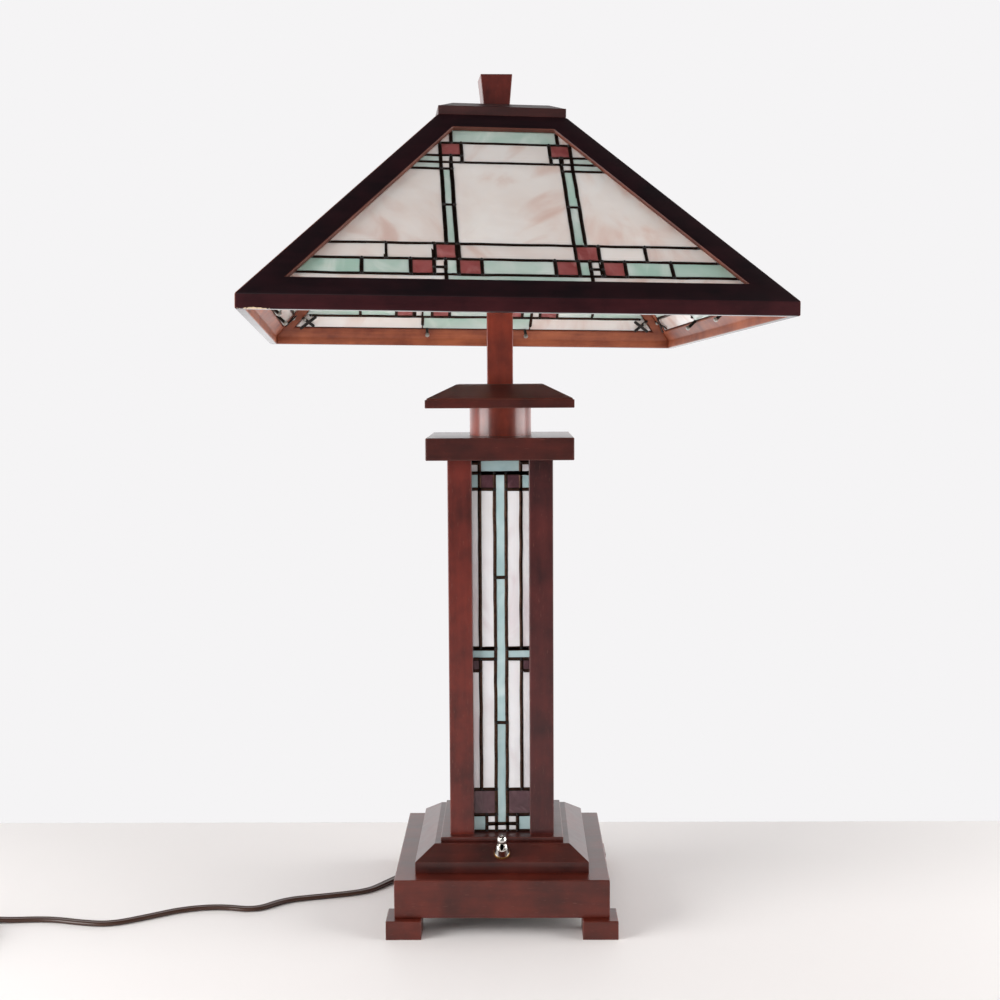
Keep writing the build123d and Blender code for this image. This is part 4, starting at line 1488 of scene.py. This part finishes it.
@dataclass
class Switch:
    """The toggle switch on the front bevel: a bell-shaped nut with a brass rim and a ball lever.

    The nut's mouth narrows to a slot, along which the lever tips.
    """

    seat: tuple[float, float, float] = (0.0, -59.9, 58.01)
    bevel: float = 34.73
    lever_lean: float = -12.5
    pivot_depth: float = 3.0
    shaft_radius: float = 1.3
    shaft_low: float = -1.0
    shaft_high: float = 11.3
    ball_height: float = 15.4
    ball_radius: float = 3.9
    ball_start: float = -68.0
    ball_sweep: float = 154.0
    ball_rings: int = 14
    mouth_radius: float = 3.75
    thread_radius: float = 4.3
    bore_limit: float = 5.0
    bushing_low: float = -7.0
    brass_below: float = 1.5
    nut: tuple[tuple[float, ...], ...] = (
        (5.3, 0.0),
        (6.0, 0.0),
        (6.2, 0.5),
        (6.1, 1.3),
        (5.8, 1.7),
        (5.45, 3.2),
        (4.95, 5.2),
        (4.6, 6.9),
        (4.4, 7.7),
        (4.2, 8.0),
        (3.95, 8.0, 0.95),
        (3.8, 7.9, 0.37),
        (3.8, 7.3, 0.37),
        (3.8, 5.2),
    )

    def place(self) -> Matrix:
        """Where the switch's own frame stands, with +Z out of the bevel."""
        lean = Matrix.Rotation(math.radians(self.bevel), 4, "X")
        return Matrix.Translation(Vector(self.seat) * MM) @ lean

    def lever(self) -> tuple[tuple[float, float], ...]:
        """The lever's outline: a slim shaft and a ball."""
        outline = [(self.shaft_radius, self.shaft_low), (self.shaft_radius, self.shaft_high)]
        for i in range(self.ball_rings):
            angle = math.radians(self.ball_start + self.ball_sweep * i / (self.ball_rings - 1))
            across, up = self.ball_radius * math.cos(angle), self.ball_radius * math.sin(angle)
            outline.append((across, self.ball_height + up))
        return tuple(outline)

    def build_body(self, finishes: Finishes) -> None:
        """Copies the case and draws its threaded bushing in under the nut.

        Args:
            finishes: The lamp's materials.
        """
        mesh = plain_copy(NODES["switch_body"])
        back = self.place().inverted()
        for vertex in mesh.vertices:
            spot = back @ vertex.co
            radius = math.hypot(spot.x, spot.y)
            if spot.z > self.bushing_low * MM and radius > 0:
                outside = radius > self.bore_limit * MM
                wanted = (self.thread_radius if outside else self.mouth_radius) * MM
                drawn = Vector((spot.x * wanted / radius, spot.y * wanted / radius, spot.z))
                vertex.co = self.place() @ drawn
        mesh.materials.clear()
        mesh.materials.append(finishes.zinc)
        piece = link_object("switch_case", mesh)
        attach(piece, "base")
        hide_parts("switch_body")

    def build(self, finishes: Finishes) -> None:
        """Makes the case, the nut and the lever.

        Args:
            finishes: The lamp's materials.
        """
        self.build_body(finishes)
        bell = bmesh.new()
        slots = tuple(int(ring[1] < self.brass_below) for ring in self.nut)
        lathe(bell, self.place(), self.nut, slots, closed=True, sides=48)
        nut = finish_shell(bell, "switch_nut", (finishes.chrome, finishes.brass))
        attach(nut, "base")
        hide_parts("switch_dress_nut")
        stick = bmesh.new()
        pivot = Matrix.Translation((0, 0, -self.pivot_depth * MM))
        lean = Matrix.Rotation(math.radians(self.lever_lean), 4, "X")
        outline = self.lever()
        lathe(stick, self.place() @ pivot @ lean, outline, (0,) * (len(outline) - 1), sides=40)
        lever = finish_shell(stick, "switch_ball_lever", (finishes.chrome,))
        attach(lever, "switch_lever")
        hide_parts("switch_lever")
        LOG.info("switch made")


@dataclass
class SupplyCord:
    """The flat twin cord: loose on the table, then wound in a small tied coil by its plug."""

    width: float = 6.6
    thickness: float = 3.4
    route: tuple[tuple[float, float, float], ...] = (
        (-48.5, 52.0, 5.0),
        (-68.0, 53.0, 2.6),
        (-86.0, 44.0, 1.9),
        (-101.0, 22.0, 1.9),
        (-113.0, 6.0, 1.9),
        (-150.0, -5.0, 1.9),
        (-178.0, -12.0, 1.9),
        (-198.0, -34.0, 1.9),
        (-226.0, -26.0, 1.9),
        (-256.0, -31.0, 1.9),
        (-283.0, -48.5, 1.9),
        (-307.0, -62.0, 1.9),
        (-331.0, -58.5, 1.9),
        (-358.0, -51.0, 1.9),
        (-392.0, -54.5, 2.2),
        (-408.0, -54.8, 3.9),
        (-424.0, -53.5, 4.1),
    )
    hump: tuple[tuple[float, float, float], ...] = (
        (95.0, 29.6, 4.8),
        (117.0, 30.6, 7.6),
        (135.0, 35.0, 9.2),
        (149.0, 43.0, 9.3),
        (162.0, 52.0, 8.9),
        (177.0, 53.5, 6.6),
    )
    tail: tuple[tuple[float, float, float], ...] = (
        (-491.0, -112.0, 5.9),
        (-486.5, -126.0, 6.2),
        (-482.4, -139.0, 6.5),
    )
    coil_centre: tuple[float, float] = (-440.0, -97.0)
    coil_turns: int = 5
    outer_turn: float = 46.3
    inner_turn: float = 29.1
    coil_z: float = 4.1
    turn_points: int = 14
    coil_slack: float = 0.3
    plug_points: int = 20
    twist_start: float = -394.0
    twist_in: float = 32.0
    twist_out: float = 22.0
    core_points: int = 11
    core_start: float = -126.0
    core_sweep: float = 252.0
    rib: float = 0.14

    def around(self, angle: float, radius: float, height: float) -> tuple[float, float, float]:
        """A point at an angle in radians and a radius round the coil's centre."""
        x, y = self.coil_centre
        return x + radius * math.cos(angle), y + radius * math.sin(angle), height

    def coil_points(self) -> list[tuple[float, float, float]]:
        """Winds the coil.

        Returns:
            The turns, spiralling inwards, then the low hump that carries the end out again.
        """
        start = math.atan2(self.route[-1][1] - self.coil_centre[1], self.route[-1][0] - self.coil_centre[0])
        widening = 1 / math.cos(math.pi / self.turn_points)
        count = self.coil_turns * self.turn_points
        points = []
        for i in range(1, count + 1):
            radius = self.outer_turn + (self.inner_turn - self.outer_turn) * i / count
            angle = start + 2 * math.pi * i / self.turn_points
            points.append(self.around(angle, radius * widening, self.coil_z))
        return points + [self.around(math.radians(angle), *rest) for angle, *rest in self.hump]

    def path(self) -> list[Vector]:
        """Smooths the route, the coil and the tail into one line.

        Returns:
            Points along it, from the strain relief to the plug.
        """
        control = list(self.route) + self.coil_points() + list(self.tail)
        curve = bpy.data.curves.new("cord_line", "CURVE")
        curve.dimensions = "3D"
        curve.resolution_u = 8
        spline = curve.splines.new("NURBS")
        spline.points.add(len(control) - 1)
        for point, place in zip(spline.points, control):
            point.co = (*(Vector(place) * MM), 1.0)
        spline.order_u = 3
        spline.use_endpoint_u = True
        holder = bpy.data.objects.new("cord_line", curve)
        bpy.context.scene.collection.objects.link(holder)
        line = plain_copy(holder)
        points = [vertex.co.copy() for vertex in line.vertices]
        bpy.data.objects.remove(holder)
        return points

    def profile(self) -> list[tuple[float, float]]:
        """The cord's section: two round cores side by side, one of them ribbed.

        Returns:
            Its corners, as distances across the cord and up through it.
        """
        radius = self.thickness / 2
        offset = (self.width - self.thickness) / 2
        section = []
        for hand in (1, -1):
            for i in range(self.core_points):
                angle = math.radians(self.core_start + self.core_sweep * i / (self.core_points - 1))
                rib = self.rib * (i % 2) if hand > 0 else 0.0
                across = (radius - rib) * math.cos(angle) + offset
                up = (radius - rib) * math.sin(angle)
                section.append((hand * across, hand * up))
        return section

    def rolls(self, line: list[Vector]) -> list[float]:
        """Rolls the cord from flat on the table to on edge in the coil, and back for the plug.

        Args:
            line: The points along the cord.

        Returns:
            The roll at each point, in radians.
        """
        run = [0.0]
        for before, here in zip(line, line[1:]):
            run.append(run[-1] + (here - before).length / MM)
        entry = next(i for i, spot in enumerate(line) if spot.x / MM < self.twist_start)
        low = (self.coil_z + self.coil_slack) * MM
        lift = max(i for i, spot in enumerate(line[: -self.plug_points]) if spot.z < low)
        rolled = []
        for place in run:
            going_up = min(1.0, max(0.0, (place - run[entry]) / self.twist_in))
            going_down = min(1.0, max(0.0, (place - run[lift]) / self.twist_out))
            rolled.append(math.pi / 2 * (going_up * going_up * (3 - 2 * going_up) - going_down))
        return rolled

    def build(self, finishes: Finishes) -> None:
        """Args:
            finishes: The lamp's materials.
        """
        line = self.path()
        section = self.profile()
        count = len(section)
        points, faces = [], []
        for i, (spot, roll) in enumerate(zip(line, self.rolls(line))):
            heading = (line[min(i + 1, len(line) - 1)] - line[max(i - 1, 0)]).normalized()
            level = Vector((0, 0, 1)).cross(heading).normalized()
            side = Matrix.Rotation(roll, 3, heading) @ level
            up = heading.cross(side)
            points += [spot + (side * across + up * high) * MM for across, high in section]
        for i in range(len(line) - 1):
            for j in range(count):
                a, b = i * count + j, i * count + (j + 1) % count
                faces.append([a, b, b + count, a + count])
        faces.append(list(reversed(range(count))))
        faces.append([(len(line) - 1) * count + j for j in range(count)])
        mesh = mesh_from("supply_cord", points, faces)
        mesh.shade_smooth()
        mesh.materials.append(finishes.vinyl)
        piece = link_object("supply_cord", mesh)
        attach(piece, "base")
        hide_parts("power_cord", "cord_coil")


# ------------------------------------------------------------------ studio
@dataclass
class Studio:
    """A pale table, soft light from both sides and the camera."""

    camera_place: tuple[float, float, float] = (11.5, -1107.5, 428.05)
    pitch: float = 0.0903
    yaw: float = 0.011
    roll: float = -0.0055
    lens: float = 49.895
    backdrop: str = "#f5f4f5"
    table_colour: str = "#efebe9"
    table_edge: float = 0.19
    reach: float = 1.4
    aim_height: float = 0.35

    def camera(self) -> None:
        """Sets the camera at a seated viewer's height, a little left of square."""
        data = bpy.data.cameras.new("camera")
        data.lens = self.lens
        data.sensor_width = 36.0
        camera = bpy.data.objects.new("camera", data)
        bpy.context.scene.collection.objects.link(camera)
        turn = (
            Matrix.Rotation(self.yaw, 4, "Z")
            @ Matrix.Rotation(math.pi / 2 - self.pitch, 4, "X")
            @ Matrix.Rotation(self.roll, 4, "Z")
        )
        camera.matrix_world = Matrix.Translation(Vector(self.camera_place) * MM) @ turn
        bpy.context.scene.camera = camera

    def softbox(
        self, name: str, place: tuple[float, float, float], size: tuple[float, float], power: float
    ) -> None:
        """A rectangular area light aimed at the middle of the lamp.

        Args:
            name: The light's name.
            place: Where it stands, in metres.
            size: Its width and height, in metres.
            power: Its power in watts.
        """
        data = bpy.data.lights.new(name, "AREA")
        data.shape = "RECTANGLE"
        data.size, data.size_y = size
        data.energy = power
        light = bpy.data.objects.new(name, data)
        bpy.context.scene.collection.objects.link(light)
        light.location = place
        aim = Vector((0, 0, self.aim_height)) - Vector(place)
        light.rotation_euler = aim.to_track_quat("-Z", "Y").to_euler()

    def surround(self) -> bpy.types.World:
        """A white backdrop behind the lamp and a dim room over it and in front of it.

        Returns:
            The world, which the camera itself sees as an even pale backdrop.
        """
        world = bpy.data.worlds.new("studio")
        world.use_nodes = True
        tree = world.node_tree
        background = tree.nodes["Background"]
        heading = add(
            tree, "ShaderNodeSeparateXYZ", {0: add(tree, "ShaderNodeTexCoord").outputs["Generated"]}
        ).outputs
        behind = add(
            tree,
            "ShaderNodeMapRange",
            {"Value": heading["Y"], "From Min": -0.35, "From Max": 0.5, "To Min": 0.22, "To Max": 1.6},
            interpolation_type="SMOOTHSTEP",
        )
        below = add(
            tree,
            "ShaderNodeMapRange",
            {"Value": heading["Z"], "From Min": 0.3, "From Max": 0.8, "To Min": 1.0, "To Max": 0.04},
            interpolation_type="SMOOTHSTEP",
        )
        room = add(
            tree, "ShaderNodeMath", {0: behind.outputs[0], 1: below.outputs[0]}, operation="MULTIPLY"
        )
        seen = add(tree, "ShaderNodeLightPath").outputs["Is Camera Ray"]
        level = add(
            tree, "ShaderNodeMix", {0: seen, 2: room.outputs[0], 3: 1.0}, data_type="FLOAT"
        )
        background.inputs["Color"].default_value = linear(self.backdrop)
        tree.links.new(level.outputs[0], background.inputs["Strength"])
        return world

    def table(self) -> None:
        """A pale table top that ends a little behind the lamp."""
        near, far, side = -self.reach, self.table_edge, self.reach
        corners = [(-side, near, 0), (side, near, 0), (side, far, 0), (-side, far, 0)]
        mesh = mesh_from("table_top", corners, [(0, 1, 2, 3)])
        finish = Moulding("white_laminate", self.table_colour, self.table_colour, 40.0, 0.62, 0.0)
        mesh.materials.append(finish.make())
        link_object("table_top", mesh)

    def build(self) -> None:
        """Makes the table top, the surrounding light and the softboxes."""
        bpy.context.scene.world = self.surround()
        bpy.context.scene.view_settings.view_transform = "Standard"
        self.table()
        self.softbox("left_softbox", (-1.25, -0.62, 0.5), (1.0, 1.1), 30.0)
        self.softbox("right_softbox", (1.4, -0.2, 0.5), (1.2, 1.1), 26.0)
        self.softbox("front_fill", (-0.3, -1.7, 1.55), (0.8, 0.6), 5.0)
        self.camera()
        LOG.info("studio set")


def main() -> None:
    """Builds the lamp's looks from the studio up to the shade."""
    logging.basicConfig(level=logging.INFO, format="%(message)s")
    Studio().build()
    finishes = Finishes()
    SupplyCord().build(finishes)
    Fittings().dress(finishes)
    Switch().build(finishes)
    Woodwork().dress()
    bead = bead_tree()
    Column().build(bead, finishes)
    shade = Shade()
    shade.build_panels(bead, finishes)
    shade.build_retainers(finishes)
    shade.build_frames()


if __name__ == "__main__":
    main()
